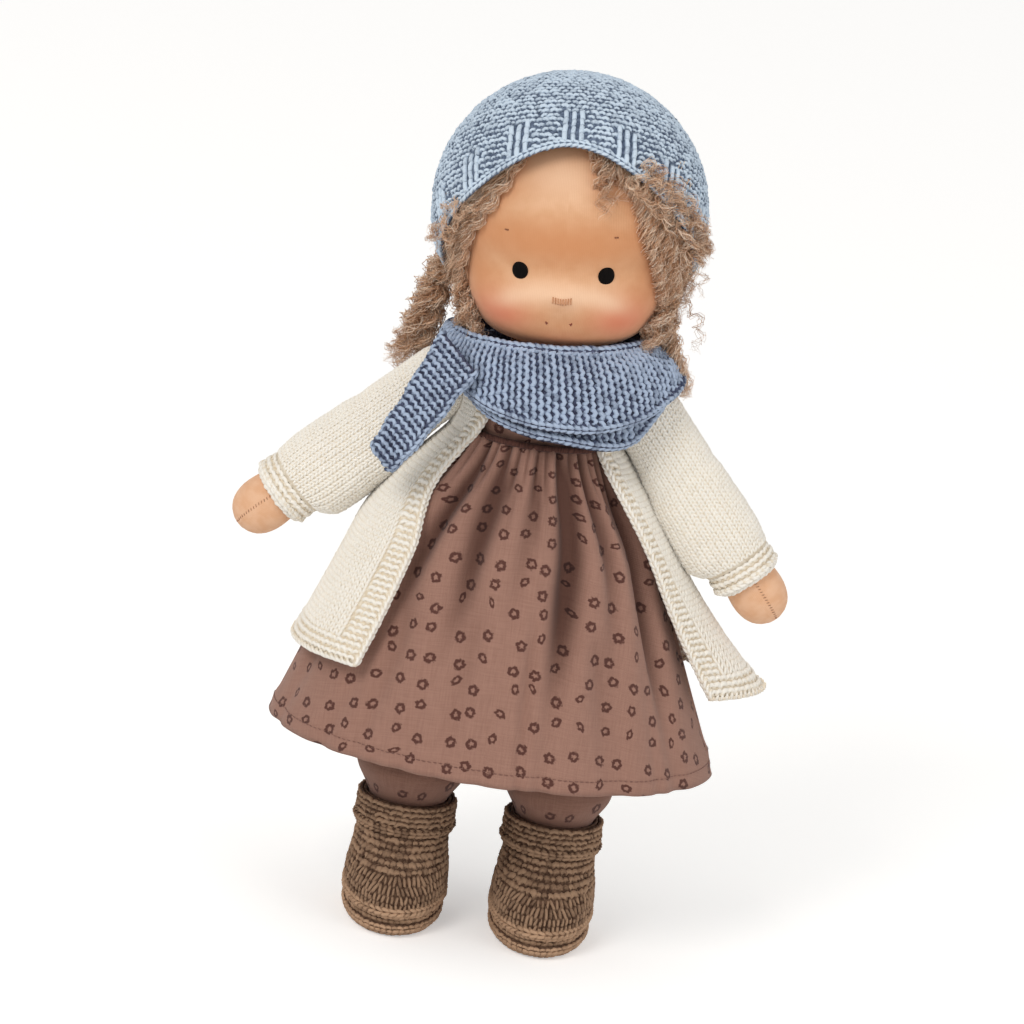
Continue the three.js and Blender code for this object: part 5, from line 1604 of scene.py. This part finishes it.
def skirt_fold_shade(u, v):
    """How deep in a fold a spot of the skirt lies: painted shade that darkens the print in the folds."""
    return smooth(0.7 - skirt_folds((u - 0.5) * TAU, v), 0.3, 3.2)


def skirt_face(u, v, outward=0.0):
    turn = (u - 0.5) * TAU
    deepest = -mix(1.7, 2.9, smooth(v, 0.03, 0.25))
    fold = mix(1.3, SKIRT["hem_fold"], v) * np.maximum(skirt_folds(turn, v), deepest) - 0.5 * v
    roll = 0.5 * hump(v, 0.955, 0.02)
    half_width = skirt_half_width(v, turn) + fold + roll + outward
    half_depth = skirt_half_depth(v) + fold + roll + outward
    return oval_point(turn, half_width, half_depth, mix(WAIST["height"], SKIRT["hem"], v))


def skirt_pattern(u, v):
    """The skirt's cloth laid flat as a fan, which keeps the rings of the print round."""
    turn = (u - 0.5) * TAU
    steps = np.linspace(0, 1, 60)
    wide, deep = skirt_half_width(steps), skirt_half_depth(steps)
    middle = (wide + deep) / 2
    run = np.hypot(np.gradient(middle, steps), WAIST["height"] - SKIRT["hem"])
    grown = np.cumsum(FAN_OPENING * run / middle) * steps[1]
    radius = middle[-1] / FAN_OPENING * np.exp(grown - grown[-1])
    reach = np.interp(v, steps, radius)
    angle = FAN_OPENING * (turn + np.interp(v, steps, (wide - deep) / middle) * np.sin(2 * turn) / 4)
    return np.stack([reach * np.sin(angle), -reach * np.cos(angle)], axis=-1) * MM


def make_skirt():
    return thick_sheet("skirt_cloth", skirt_face, lambda u, v: skirt_face(u, v, -0.85), 400, 54, True,
                       in_body, dress_cloth, develop=skirt_pattern, painted_fold_shade=skirt_fold_shade)


def make_skirt_trims():
    u = np.arange(180) / 180
    waist = oval_point((u - 0.5) * TAU, skirt_half_width(0) + 0.3, skirt_half_depth(0) + 0.3,
                       WAIST["height"] + 0.2)
    piping = tube("waist_piping", waist, 1.15, in_body, piping_cloth, 10, closed=True)
    spots = np.linspace(0.001, 0.999, 400), np.full(400, 1 - 5 / 109)
    line = skirt_face(*spots, 0.12)
    ups = unit(skirt_face(*spots, 1.0) - line)
    hem = sewn("hem_stitches", line, ups, in_body, hem_thread, 1.9, 1.25, 0.26)
    return piping, hem


def make_bodice():
    def face(u, v, outward):
        z = mix(BODICE["top"], BODICE["hem"], v)
        turn = u * TAU
        crease = 0.35 * np.cos(turn * 14 + 2 * np.sin(turn * 3)) * smooth(v, 0.1, 0.5)
        return oval_point(turn, torso_half_width(z) + crease + outward,
                          torso_half_depth(z) + crease + outward, z)
    return thick_sheet("bodice_cloth", lambda u, v: face(u, v, BODICE["wall"] + 0.2),
                       lambda u, v: face(u, v, 0.5), 120, 16, True, in_body, dress_cloth, flat=(0.14, 0.032))


# Trousers, boots and legs.
LEG_RADII = [
    (BOOT["sole"] + BOOT["wall"], LEG["ankle_radius"]), (LEG["ankle_height"], LEG["ankle_radius"]),
    (BOOT["height"], LEG["ankle_radius"]), (mix(BOOT["height"], HIP["height"], 0.16), LEG["knee_radius"]),
    (mix(BOOT["height"], HIP["height"], 0.7), LEG["knee_radius"]), (HIP["height"], LEG["thigh_radius"]),
]


def under_the_seat(y, wanted):
    """Lowers points that would stand in the seat's room to just under the roll."""
    room = HIP["seat_radius"] + GAP + TROUSERS["seat_wall"] + GAP
    under = HIP["height"] - np.sqrt(np.maximum(room**2 - y**2, 0))
    return np.minimum(wanted, under)


def leg_ring(z, extra):
    turn = around(56)
    radius = table_value(LEG_RADII, z) + extra
    y = -radius * np.cos(turn)
    return stack(radius * np.sin(turn), y, under_the_seat(y, z))


FOOT_ROWS = [
    # up the boot, half width, heel reach, toe reach
    (0, 0.92, 0.92, 0.88), (0.09, 1, 1, 1), (0.26, 1, 0.99, 0.99), (0.42, 0.96, 0.94, 0.78),
    (0.58, 0.91, 0.9, 0.56), (0.76, 0.87, 0.86, 0.46), (1, 0.89, 0.88, 0.47),
]
foot_spline_ups = np.linspace(0, 1, 41)
foot_table = np.array(FOOT_ROWS)


def eased_foot():
    """The foot's outline with its corners rounded between the rows."""
    rows = []
    for column in (1, 2, 3):
        straight = np.interp(foot_spline_ups, foot_table[:, 0], foot_table[:, column])
        padded = np.concatenate([np.full(2, straight[0]), straight, np.full(2, straight[-1])])
        rows.append(np.convolve(padded, (0.1, 0.22, 0.36, 0.22, 0.1), mode="valid"))
    return rows


foot_width, foot_heel, foot_toe = eased_foot()


def foot_reach(share, turn):
    half_width = BOOT["half_width"] * np.interp(share, foot_spline_ups, foot_width)
    heel = BOOT["heel"] * np.interp(share, foot_spline_ups, foot_heel)
    toe = BOOT["toe"] * np.interp(share, foot_spline_ups, foot_toe)
    return half_width, np.where(np.cos(turn) > 0, toe, heel)


def boot_face(u, v, outward=0.0):
    turn = u * TAU
    share = 1 - np.clip(v, 0, 1)
    half_width, reach = foot_reach(share, turn)
    z = mix(BOOT["sole"] + GAP, BOOT["height"], share)
    return oval_point(turn, half_width + outward, reach + outward, z)


def sole_face(u, v, outward=0.0):
    turn = u * TAU
    half_width, reach = foot_reach(0.09 * np.clip(1.6 * (1 - v), 0, 1), turn)
    spread = mix(0.0, -1.0, np.clip(v, 0, 1) ** 3) + outward
    return oval_point(turn, half_width + spread, reach + spread, mix(BOOT["sole"], 0.15, v))


def boot_cuff_face(u, v, outward=0.0):
    turn = u * TAU
    half_width, reach = foot_reach(mix(0.76, 1, 1 - np.clip(v, 0, 1)), turn)
    flare = BOOT_CUFF["wall"] - GAP + 0.5 * v + outward
    return oval_point(turn, half_width + flare, reach + flare,
                      mix(BOOT["height"], BOOT["height"] - BOOT_CUFF["height"], v))


def make_boot(side):
    place = in_leg[side]
    seed = 70 if side == "left" else 80
    cloth = thick_sheet(f"{side}_boot_cloth", lambda u, v: boot_face(u, v, -0.8),
                        lambda u, v: boot_face(u, v, -BOOT["wall"] + 0.2), 64, 28, True, place, boot_ground,
                        flat=(0.13, 0.045))
    instep = knit_rows(f"{side}_boot_instep_stitches", boot_face, place, boot_yarn, BOOT_WORK, (0, 1),
                       (0.2, 0.6), seed)
    toe = knit_rows(f"{side}_boot_toe_stitches", boot_face, place, boot_yarn, TOE_WORK, (0, 1), (0.6, 0.86),
                    seed + 1, stagger=0)
    welt = knit_rows(f"{side}_boot_welt_stitches", boot_face, place, sole_yarn, WELT_WORK, (0, 1),
                     (0.895, 1.03), seed + 6)
    ridge = round_row(boot_face, BOOT_RIDGE, 72, -0.35)
    ridge_up = round_row(boot_face, BOOT_RIDGE, 72, 1.0) - round_row(boot_face, BOOT_RIDGE, 72)
    chain = edge_stitches(f"{side}_boot_ridge", ridge, ridge_up, place, sole_yarn, 2.5, 1.3, True, seed + 2)
    rings = [round_row(sole_face, v, 72, -0.7) for v in (1.0, 0.8, 0.5, 0.2, 0.0)]
    bottom = [rings[0] * np.array([share, share, 0]) + np.array([0, 0, 0.15]) for share in (0.3, 0.65, 0.92)]
    top = [rings[-1] * np.array([share, share, 1]) for share in (0.8, 0.4)]
    sole = lofted(f"{side}_sole_felt", bottom + rings + top, place, boot_ground)
    rim_spots = lay_rows(sole_face, SOLE_WORK.stitch, SOLE_ROW, (0, 1), (0.0, 0.97))
    rim = knit(f"{side}_sole_stitches", sole_face, rim_spots, place, sole_yarn, SOLE_WORK, seed + 3)
    cuff = thick_sheet(f"{side}_boot_cuff_cloth", lambda u, v: boot_cuff_face(u, v, -0.75),
                       lambda u, v: boot_cuff_face(u, v, -BOOT_CUFF["wall"]), 64, 8, True, place, boot_ground,
                       flat=(0.115, 0.014))
    cuff_rows = knit_rows(f"{side}_boot_cuff_stitches", boot_cuff_face, place, boot_yarn, BOOT_WORK, (0, 1),
                          (0.0, 1.0), seed + 4)
    edge = round_row(boot_cuff_face, 1, 72, -0.6)
    edge_up = round_row(boot_cuff_face, 1, 72, 1.0) - round_row(boot_cuff_face, 1, 72)
    edge_up = edge_up + np.array([0, 0, -0.5])
    cuff_chain = edge_stitches(f"{side}_boot_cuff_chain", edge, edge_up, place, boot_yarn, 2.5, 1.3, True,
                               seed + 5)
    return {"cloth": cloth, "parts": [instep, toe, welt, chain], "sole": sole, "sole_parts": [rim],
            "cuff": cuff, "cuff_parts": [cuff_rows, cuff_chain]}


def make_leg(side):
    turn = around(56)
    inset = BOOT["wall"] + GAP
    rings = []
    for share in (0.1, 0.2, 0.32, 0.45, 0.58):
        half_width, reach = foot_reach(share, turn)
        z = mix(BOOT["sole"], BOOT["height"], share) + 1.0
        rings.append(oval_point(turn, half_width - inset, reach - inset, z))
    for z in np.linspace(31.5, 108, 22):
        rings.append(leg_ring(z, -0.4 * hump(z, 60, 8)))
    return lofted(f"{side}_leg", rings, in_leg[side], body_tricot, flat=(0.1, 0.11))


def make_trouser_leg(side):
    turn = math.pi + around(72)

    def ring(z, extra):
        share = smooth(z, BOOT["height"], 62)
        slanting = 0.55 * share * np.sin(z * 0.42 + 1.6 * np.sin(turn + SIDES[side]))
        wrinkle = slanting + 0.5 * share * np.cos(turn * 6 + z * 0.08)
        wrinkle = np.maximum(wrinkle, -0.6) * (1.0 if extra > 1 else 0.8)
        radius = table_value(LEG_RADII[1:], z) + extra + wrinkle
        radius = radius + 2.4 * hump(z, 51, 7)
        y = -radius * np.cos(turn)
        return stack(radius * np.sin(turn), y, under_the_seat(y, z))
    heights = np.linspace(TROUSERS["hem"], 104, 48)
    outer = [ring(z, GAP + TROUSERS["wall"]) for z in heights[::-1]]
    inner = [ring(z, GAP + 0.25) for z in heights]
    return looped(f"{side}_trouser_cloth", outer + inner, in_leg[side], trouser_cloth, flat=(0.1, 0.146))


# Arms: stuffed, with a mitten hand that is seamed along its edge.
HAND_ROWS = [
    # along the hand, share of the wrist's radius
    (0, 1), (0.12, 1.0), (0.3, 1.06), (0.5, 1.08), (0.68, 1.0), (0.82, 0.84), (0.92, 0.6), (0.98, 0.3),
    (1, 0.06),
]


def arm_radius(along):
    """Radius of the stuffed arm at a distance below its shoulder."""
    upper = mix(ARM["root_radius"], ARM["wrist_radius"], smooth(along, 0, ARM_STRAIGHT))
    hand = ARM["wrist_radius"] * table_value(HAND_ROWS, (along - ARM_STRAIGHT) / ARM["hand_length"])
    return np.where(along < ARM_STRAIGHT, upper, hand)


def arm_point(turn, along, outward=0.0):
    flat = mix(1, ARM["hand_flat"], smooth(along, ARM_STRAIGHT, ARM["length"]))
    radius = arm_radius(along) + outward
    return oval_point(turn, radius, radius * flat, -along)


def make_arm(side):
    turn = around(56)
    root = ARM["root_radius"]
    dome = [oval_ring(root * math.cos(a), root * math.cos(a), root * math.sin(a), 56)
            for a in np.linspace(1.45, 0.15, 7)]
    body = [arm_point(turn, np.full(56, along)) for along in np.linspace(0, ARM_STRAIGHT, 14)]
    hand = [arm_point(turn, np.full(56, ARM_STRAIGHT + ARM["hand_length"] * share)) for share in
            (0.06, 0.14, 0.24, 0.34, 0.44, 0.54, 0.63, 0.71, 0.78, 0.84, 0.89, 0.93, 0.96, 0.98, 0.995)]
    return lofted(f"{side}_arm", dome + body + hand, in_arm[side], body_tricot, flat=(0.062, 0.1))


def make_hand_seam(side):
    """The seam that closes the mitten: small stitches over the end of the hand and along its middle."""
    along = np.linspace(ARM_STRAIGHT - 1, ARM["length"] - 0.8, 40)
    path, ups = [], []
    for turn, steps in ((SIDES[side] * 0.25, along), (math.pi, along[::-1])):
        turns = np.full(40, turn)
        line = arm_point(turns, steps, 0.06)
        path.append(line)
        ups.append(unit(arm_point(turns, steps, 1.0) - line))
    return sewn(f"{side}_hand_seam", np.vstack(path), np.vstack(ups), in_arm[side], seam_thread, 1.15, 0.95,
                0.2, 1.2)


torso = make_torso()
neck = make_neck()
neck_tie = make_neck_tie()
seat, seat_cloth = make_seat()
skirt_cloth = make_skirt()
waist_piping, hem_stitches = make_skirt_trims()
bodice_cloth = make_bodice()
boots = {side: make_boot(side) for side in SIDES}
legs = {side: make_leg(side) for side in SIDES}
trouser_legs = {side: make_trouser_leg(side) for side in SIDES}
arms = {side: make_arm(side) for side in SIDES}
hand_seams = {side: make_hand_seam(side) for side in SIDES}


# Hair: mohair over a thin cap, a fringe parted left of the middle, side bunches and locks down the back.
HAIRLINE = [
    # across and up from the middle of the head, round the bare face
    (-32, -22), (-32, -12), (-30.5, -1), (-24.5, 9), (-17.5, 19), (-13, 28), (-11, 31), (1, 31), (8, 25),
    (15, 21), (20.5, 13), (25, 0), (29, -10.5), (32, -21),
]


def hair_drop(turn):
    """How far down from the crown the hair reaches at each turn round the head, in radians."""
    line = np.array(HAIRLINE, float)
    ups = line[:, 1] / HEAD["half_height"]
    drops = np.arccos(np.clip(ups, -1, 1))
    spots = np.array([on_face(x, z) for x, z in HAIRLINE])
    turns = np.arctan2(spots[:, 0] / HEAD["half_width"], -spots[:, 1] / HEAD["half_depth"])
    nape = math.radians(118)
    table_turns = np.array([-math.pi, -2.2, *turns, 2.2, math.pi])
    table_drops = np.array([nape, nape, *drops, nape, nape])
    order = np.argsort(table_turns)
    return np.interp((turn + math.pi) % TAU - math.pi, table_turns[order], table_drops[order])


def hair_point(turn, share, outward=0.0):
    """A place on the hair: share 0 at the crown, 1 at the hairline."""
    return head_point(turn, hair_drop(turn) * share, outward)


def make_hair_cap():
    """A thin felted layer that the strands lie on."""
    count, rows = 160, 30
    turn = around(count)
    shares = np.linspace(0.03, 1, rows)
    outer = [hair_point(turn, np.full(count, share), mix(1.6, 0.5, smooth(share, 0.8, 1.0)))
             for share in shares]
    inner = [hair_point(turn, np.full(count, share), 0.2) for share in shares[::-1]]
    return lofted("hair_cap", outer + inner, in_head, hair_ground)


def paths_object(name, paths, place, seed):
    points = np.concatenate(paths)
    turns = np.random.default_rng(seed).uniform(0, TAU, len(paths))
    edges, start = [], 0
    for path in paths:
        edges += [(start + i, start + i + 1) for i in range(len(path) - 1)]
        start += len(path)
    lock_turns = np.repeat(turns, [len(path) for path in paths])
    return points_object(name, points, place, values={"lock_turn": lock_turns}, edges=edges)


def strands(name, paths, count, bundle, curl_radius, curl_length, thickness, frizz, points, seed):
    return grown(paths_object(name, paths, in_head, seed), STRANDS, **{
        "Strands": count, "Points Along": points, "Bundle Radius": bundle * MM,
        "Curl Radius": curl_radius * MM, "Curl Length": curl_length * MM,
        "Strand Thickness": thickness * MM, "Frizz": frizz * MM, "Seed": seed, "Hair": hair_strands,
    })


def fringe_path(start, end, lift, bow):
    """A guide over the head from one place to another, given as (across, up) pairs, a little off the skin."""
    path = []
    for share in np.linspace(0, 1, 12):
        x, z = mix(start[0], end[0], share), mix(start[1], end[1], share)
        spot = on_face(x, z + bow * math.sin(math.pi * share))
        path.append(spot + unit(spot) * mix(lift, lift * 0.9, share))
    return np.array(path)


def make_fringe():
    """Strands over the brow: they leave the parting and sweep out and down under the hat's rim."""
    rng = np.random.default_rng(SEED)
    left, right = [], []
    left_inner = [(-11, 31.5), (-13.5, 27), (-18, 18), (-24.5, 8), (-30.5, -3), (-32.5, -14), (-33, -22)]
    left_outer = [(-16, 33.5), (-22, 28), (-29, 18), (-33.6, 7), (-35, -3), (-35.2, -13), (-34.6, -22)]
    right_inner = [(1, 32), (8, 25.5), (15, 21), (21, 13), (25, 0), (28.5, -11), (31.5, -20), (33, -27)]
    right_outer = [(9, 34), (19, 30), (26, 24), (32, 13), (34.6, 0), (35.2, -11), (35, -20), (33.6, -27)]
    for guides, inner, outer, count in ((left, left_inner, left_outer, 10),
                                        (right, right_inner, right_outer, 16)):
        for k in range(count):
            share = (k + 0.3) / count
            spots = [(mix(a[0], b[0], share), mix(a[1], b[1], share)) for a, b in zip(inner, outer)]
            shift = rng.uniform(-0.5, 0.5)
            path = np.array([on_face(x + shift, z) for x, z in spots])
            lift = 1.2 + 5.2 * share**1.4 + rng.uniform(0, 1.4)
            tucked = mix(0.15, 1, smooth(np.arange(len(path)), 0, 3))
            wander = rng.normal(0, 0.7, path.shape) * tucked[:, None]
            guides.append(smooth_path(path + unit(path) * (lift * tucked)[:, None] + wander, 18))
    waves = strands("fringe_left_strands", left, 30, 1.4, 1.1, 10, 0.22, 0.8, 38, 5)
    curls = strands("fringe_right_strands", right, 25, 1.3, 1.9, 7, 0.22, 1.0, 48, 6)
    cross = []
    for k in range(14):
        x = rng.uniform(4, 14)
        start, end = (x, 31 - 0.3 * x), (rng.uniform(8, 26), rng.uniform(6, 22))
        cross.append(fringe_path(start, end, 2.4, rng.uniform(1, 3)))
    fluff = strands("fringe_right_fluff", cross, 9, 1.3, 1.8, 6, 0.2, 0.9, 44, 8)
    stray = strands("stray_curls", loose_curls(), 6, 0.9, 1.6, 7, 0.19, 1.2, 44, 9)
    over = strands("rim_curls", rim_curls(), 13, 1.5, 1.7, 7, 0.21, 1.3, 34, 10)
    return [waves, curls, fluff, stray, over]


def rim_curls():
    """Tufts that come out under the hat's rim and lap over it, more of them on the left side."""
    rng = np.random.default_rng(31)
    guides = []
    for low, high, count, deepest_lap in ((0.4, 1.4, 15, 0.075), (-1.2, -0.85, 3, 0.02)):
        for k in range(count):
            turn = mix(low, high, (k + rng.uniform(0, 1)) / count)
            lean = math.copysign(rng.uniform(0.7, 1.3), turn)
            lap = rng.uniform(0.3, 1) * deepest_lap
            steps = [(0, 1.0, -5), (0.03, 1.05, -2.5), (0.07, 1.045, 0.9), (0.12, 1 - lap / 2, 2.2),
                     (0.18, 1 - lap, 2.5), (0.26, 1.01, 2.0)]
            path = [hat_face((turn + lean * on) / TAU, v, out) for on, v, out in steps]
            guides.append(smooth_path(path, 18))
    return guides


def lock_guides(side):
    """Guides of one side's bunch, from behind the cheek down over the scarf."""
    rng = np.random.default_rng(12 if side == "left" else 13)
    if side == "left":
        middle = [(34, 3, -14), (34.5, 1, -25), (35.5, -2, -35), (37, -3.5, -43), (40, -2, -50), (42, 1, -57)]
        count, spread = 5, 2.0
    else:
        middle = [(-37, 4, -8), (-40.5, 4, -16), (-44, 5, -26), (-47, 8, -37), (-50.5, 12, -48),
                  (-53.5, 16, -58)]
        count, spread = 15, 8
    shares = np.linspace(0.25, 1, len(middle))
    guides = []
    for _ in range(count):
        aside = rng.normal(0, 1, 2)
        aside = aside / max(1.0, np.linalg.norm(aside)) * spread * rng.uniform(0.2, 1)
        path = np.array(middle, float)
        path[:, 0] += aside[0] * shares
        path[:, 1] += aside[1] * shares
        path[-1, 2] += rng.uniform(-4, 7)
        guides.append(smooth_path(path, 24))
    return guides


def behind_the_cheek(sign):
    """Short curls that fill the room between the cheek and the scarf."""
    rng = np.random.default_rng(17)
    guides = []
    for _ in range(5):
        aside, ahead = rng.uniform(-1.2, 1.6), rng.uniform(-7, 7)
        path = [(sign * (33 + aside), ahead, -10), (sign * (34 + aside), ahead - 2, -22),
                (sign * (33.5 + aside), ahead - 3, -32), (sign * (32 + aside), ahead - 2, -40)]
        guides.append(smooth_path(path, 20))
    for _ in range(4):
        aside, ahead = rng.uniform(-0.6, 1.4), rng.uniform(-2.5, 2.5)
        path = [(sign * (35 + aside), ahead - 3, -15), (sign * (33.5 + aside), ahead - 8, -24),
                (sign * (30.5 + aside), ahead - 11, -33), (sign * (28 + aside), ahead - 13, -41)]
        guides.append(smooth_path(path, 20))
    return guides


def loose_curls():
    """Single curls that stand off the head under the hat's rim."""
    spots = [
        [(37, -2, -6), (42, -3, -10), (46, -4, -16), (45, -5, -23)],
        [(36, -4, -12), (41, -5, -17), (43, -5, -24)],
        [(36, 0, -16), (40, 1, -26), (46, 2, -34), (45, 2, -44)],
        [(-38, -3, -8), (-43, -4, -14), (-47, -3, -24)], [(-40, 2, -20), (-48, 2, -30), (-53, 3, -42)],
    ]
    return [smooth_path(path, 20) for path in spots]


def make_side_lock(side):
    curls, seed = (1.8, 15) if side == "left" else (1.7, 16)
    guides = lock_guides(side) + behind_the_cheek(SIDES[side])
    return strands(f"{side}_side_lock_strands", guides, 21, 2.0, curls, 9, 0.26, 1.4, 44, seed)


def make_back_lock(name, x, seed):
    rng = np.random.default_rng(seed)
    middle = np.array([(x, 32, -20), (1.04 * x, 36.5, -27), (1.1 * x, 41, -35), (1.18 * x, 45, -47),
                       (1.2 * x, 46.5, -58), (1.2 * x, 46, -68)])
    guides = []
    for _ in range(6):
        aside = rng.uniform(-1, 1, 2)
        shares = smooth(np.arange(len(middle)), 0, 3)[:, None]
        at_root = np.array([aside[0] * 4, aside[1], 0])
        path = middle + at_root + shares * np.array([aside[0] * 3, aside[1] * 1.6, 0])
        path[-1, 2] += rng.uniform(-2, 6)
        guides.append(smooth_path(path, 22))
    return strands(name, guides, 31, 3.0, 1.5, 8, 0.28, 1.0, 40, seed)


hair_cap = make_hair_cap()
fringe = make_fringe()
side_locks = {side: make_side_lock(side) for side in SIDES}
back_locks = {name: make_back_lock(f"{name}_strands", x, 20 + k) for k, (name, x) in enumerate(
    (("back_lock_right", -21), ("back_lock_middle", 0), ("back_lock_left", 21)))}


def take(body, pieces):
    """Pieces that move with one body, each hung on that body's empty."""
    for piece in pieces:
        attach(piece, body)


def take_bent(pieces):
    """Pieces whose place is baked into their meshes, tied to no body."""
    for piece in pieces:
        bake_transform(piece)


def as_cloth(cloth, node, extra=()):
    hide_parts(node)
    list(extra)


def as_stuffed(piece, fill, *nodes):
    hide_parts(*nodes)


take("head", [head])
take("head", [*eyes.values(), stitched_face])
take("head", [hat_cloth, *hat_parts])
take("head", [hair_cap, *fringe])
as_stuffed(head, 0.95, "head_skin", "head_wool_ball")
as_cloth(hat_cloth, "hat", hat_parts)
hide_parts("hair_cap")
for side in SIDES:
    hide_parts(f"{side}_eye")
    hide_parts(f"hair_{side}_lock")
take_bent(side_locks.values())
take_bent(back_locks.values())
for k, lock in enumerate(back_locks.values()):
    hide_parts(f"hair_back_lock_{k + 1}")

take("torso", [torso])
take("neck", [neck])
take("neck", [neck_tie])
as_stuffed(torso, 0.9, "torso")
as_stuffed(neck, 0.95, "neck")
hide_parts("neck_tie")
take("torso", [upper_cloth, *upper_parts, lower_cloth, *lower_parts, tail_cloth, *tail_parts])
as_cloth(upper_cloth, "scarf_upper_wrap", upper_parts)
as_cloth(lower_cloth, "scarf_lower_wrap", lower_parts)
as_cloth(tail_cloth, "scarf_tail", tail_parts)
take("torso", [cardigan_cloth, *cardigan_parts])
as_cloth(cardigan_cloth, "cardigan_body", cardigan_parts)
take("torso", [bodice_cloth])
as_cloth(bodice_cloth, "dress_bodice")
take_bent([skirt_cloth, waist_piping, hem_stitches])
as_cloth(skirt_cloth, "dress_skirt",
         [waist_piping, hem_stitches])

take("seat", [seat])
take("seat", [seat_cloth])
as_stuffed(seat, 0.9, "seat")
as_cloth(seat_cloth, "trouser_seat")
for side in SIDES:
    arm, leg = f"{side}_arm", f"{side}_leg"
    take(arm, [arms[side], hand_seams[side]])
    as_stuffed(arms[side], 0.9, arm)
    sleeve, boot = sleeves[side], boots[side]
    take(arm, [sleeve["cloth"], *sleeve["parts"], sleeve["cuff"], *sleeve["cuff_parts"]])
    as_cloth(sleeve["cloth"], f"{side}_sleeve", sleeve["parts"])
    as_cloth(sleeve["cuff"], f"{side}_sleeve_cuff", sleeve["cuff_parts"])
    take(leg, [legs[side]])
    as_stuffed(legs[side], 0.9, leg)
    take(leg, [trouser_legs[side]])
    as_cloth(trouser_legs[side], f"{side}_trouser_leg")
    take(leg, [boot["cloth"], *boot["parts"], boot["sole"], *boot["sole_parts"], boot["cuff"],
                               *boot["cuff_parts"]])
    as_cloth(boot["cloth"], f"{side}_boot", boot["parts"])
    as_cloth(boot["cuff"], f"{side}_boot_cuff", boot["cuff_parts"])
    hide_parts(f"{side}_boot_sole")
    bead = frame["nodes"][f"{side}_shoulder_bead"]
    bead.data.materials.clear()
    bead.data.materials.append(bead_wood)


# The photograph's view: the camera looks down a little, and the doll leans to the right of the picture.
PICTURE_PIXELS = 1024
MM_PER_PIXEL = 0.34
CAMERA_ELEVATION = math.radians(15)
CAMERA_ROLL = math.radians(8.5)
CAMERA_DISTANCE = 2000 * MM
SENSOR_WIDTH = 36
VIEW_CENTRE = body_middle * MM + Vector((-4.3, 0, 146.3)) * MM


def make_camera():
    camera_data = bpy.data.cameras.new("camera")
    camera_data.sensor_width = SENSOR_WIDTH
    camera_data.lens = SENSOR_WIDTH * CAMERA_DISTANCE / (PICTURE_PIXELS * MM_PER_PIXEL * MM)
    camera_data.clip_start = 0.05
    camera_data.clip_end = 20
    camera = link(bpy.data.objects.new("camera", camera_data))
    toward_camera = Vector((0, -math.cos(CAMERA_ELEVATION), math.sin(CAMERA_ELEVATION)))
    camera.location = VIEW_CENTRE + toward_camera * CAMERA_DISTANCE
    upright = toward_camera.to_track_quat("Z", "Y").to_matrix()
    camera.rotation_euler = (upright @ Matrix.Rotation(CAMERA_ROLL, 3, "Z")).to_euler()
    bpy.context.scene.camera = camera


def make_lamp(name, location, aim, size, watts, tint):
    lamp = bpy.data.lights.new(name, "AREA")
    lamp.shape = "DISK"
    lamp.size = size
    lamp.energy = watts
    lamp.color = tint
    lamp_object = link(bpy.data.objects.new(name, lamp))
    lamp_object.location = location
    lamp_object.rotation_euler = (Vector(location) - Vector(aim)).to_track_quat("Z", "Y").to_euler()


def seen_directly(tree):
    """1 where the camera sees it itself, in a mirror or through glass, and 0 for the light that it gives."""
    path = tree.nodes.new("ShaderNodeLightPath").outputs
    either = add_node(tree, "ShaderNodeMath", {0: path["Is Camera Ray"], 1: path["Is Glossy Ray"]},
                      operation="MAXIMUM")
    return add_node(tree, "ShaderNodeMath", {0: either.outputs[0], 1: path["Is Transmission Ray"]},
                    operation="MAXIMUM").outputs[0]


def make_world():
    world = bpy.data.worlds.new("studio")
    world.use_nodes = True
    tree = world.node_tree
    soft_light = tree.nodes["Background"]
    soft_light.inputs["Color"].default_value = (1, 0.985, 0.96, 1)
    soft_light.inputs["Strength"].default_value = 0.62
    backdrop = add_node(tree, "ShaderNodeBackground", {"Color": (1, 1, 1, 1), "Strength": 1.0})
    either = add_node(tree, "ShaderNodeMixShader", {0: seen_directly(tree), 1: soft_light.outputs[0],
                                                   2: backdrop.outputs[0]})
    tree.links.new(either.outputs[0], tree.nodes["World Output"].inputs["Surface"])
    bpy.context.scene.world = world


def make_floor():
    """A pale floor that is as white as the backdrop, with the doll's soft shadow on it."""
    corners = [(x * 4, y * 4, 0) for x, y in ((-1, -1), (1, -1), (1, 1), (-1, 1))]
    mesh = bpy.data.meshes.new("floor")
    mesh.from_pydata(corners, [], [(0, 1, 2, 3)])
    m = Finish("pale floor", roughness=1.0)
    mesh.materials.append(m.finish(add_node(m.tree, "ShaderNodeRGB").outputs[0]))
    m.tree.nodes["RGB"].outputs[0].default_value = (0.93, 0.93, 0.93, 1)
    m.shader.inputs["Emission Color"].default_value = (1, 1, 1, 1)
    glow = m.times(seen_directly(m.tree), 0.34)
    m.tree.links.new(glow, m.shader.inputs["Emission Strength"])
    floor = link(bpy.data.objects.new("floor", mesh))


make_camera()
make_world()
make_floor()
make_lamp("key", (-0.9, -1.5, 1.5), (0, 0, 0.16), 0.9, 17, (1, 0.97, 0.93))
make_lamp("fill", (1.4, -1.0, 0.7), (0, 0, 0.15), 1.2, 5, (1, 0.98, 0.95))
bpy.context.scene.view_settings.view_transform = "Standard"
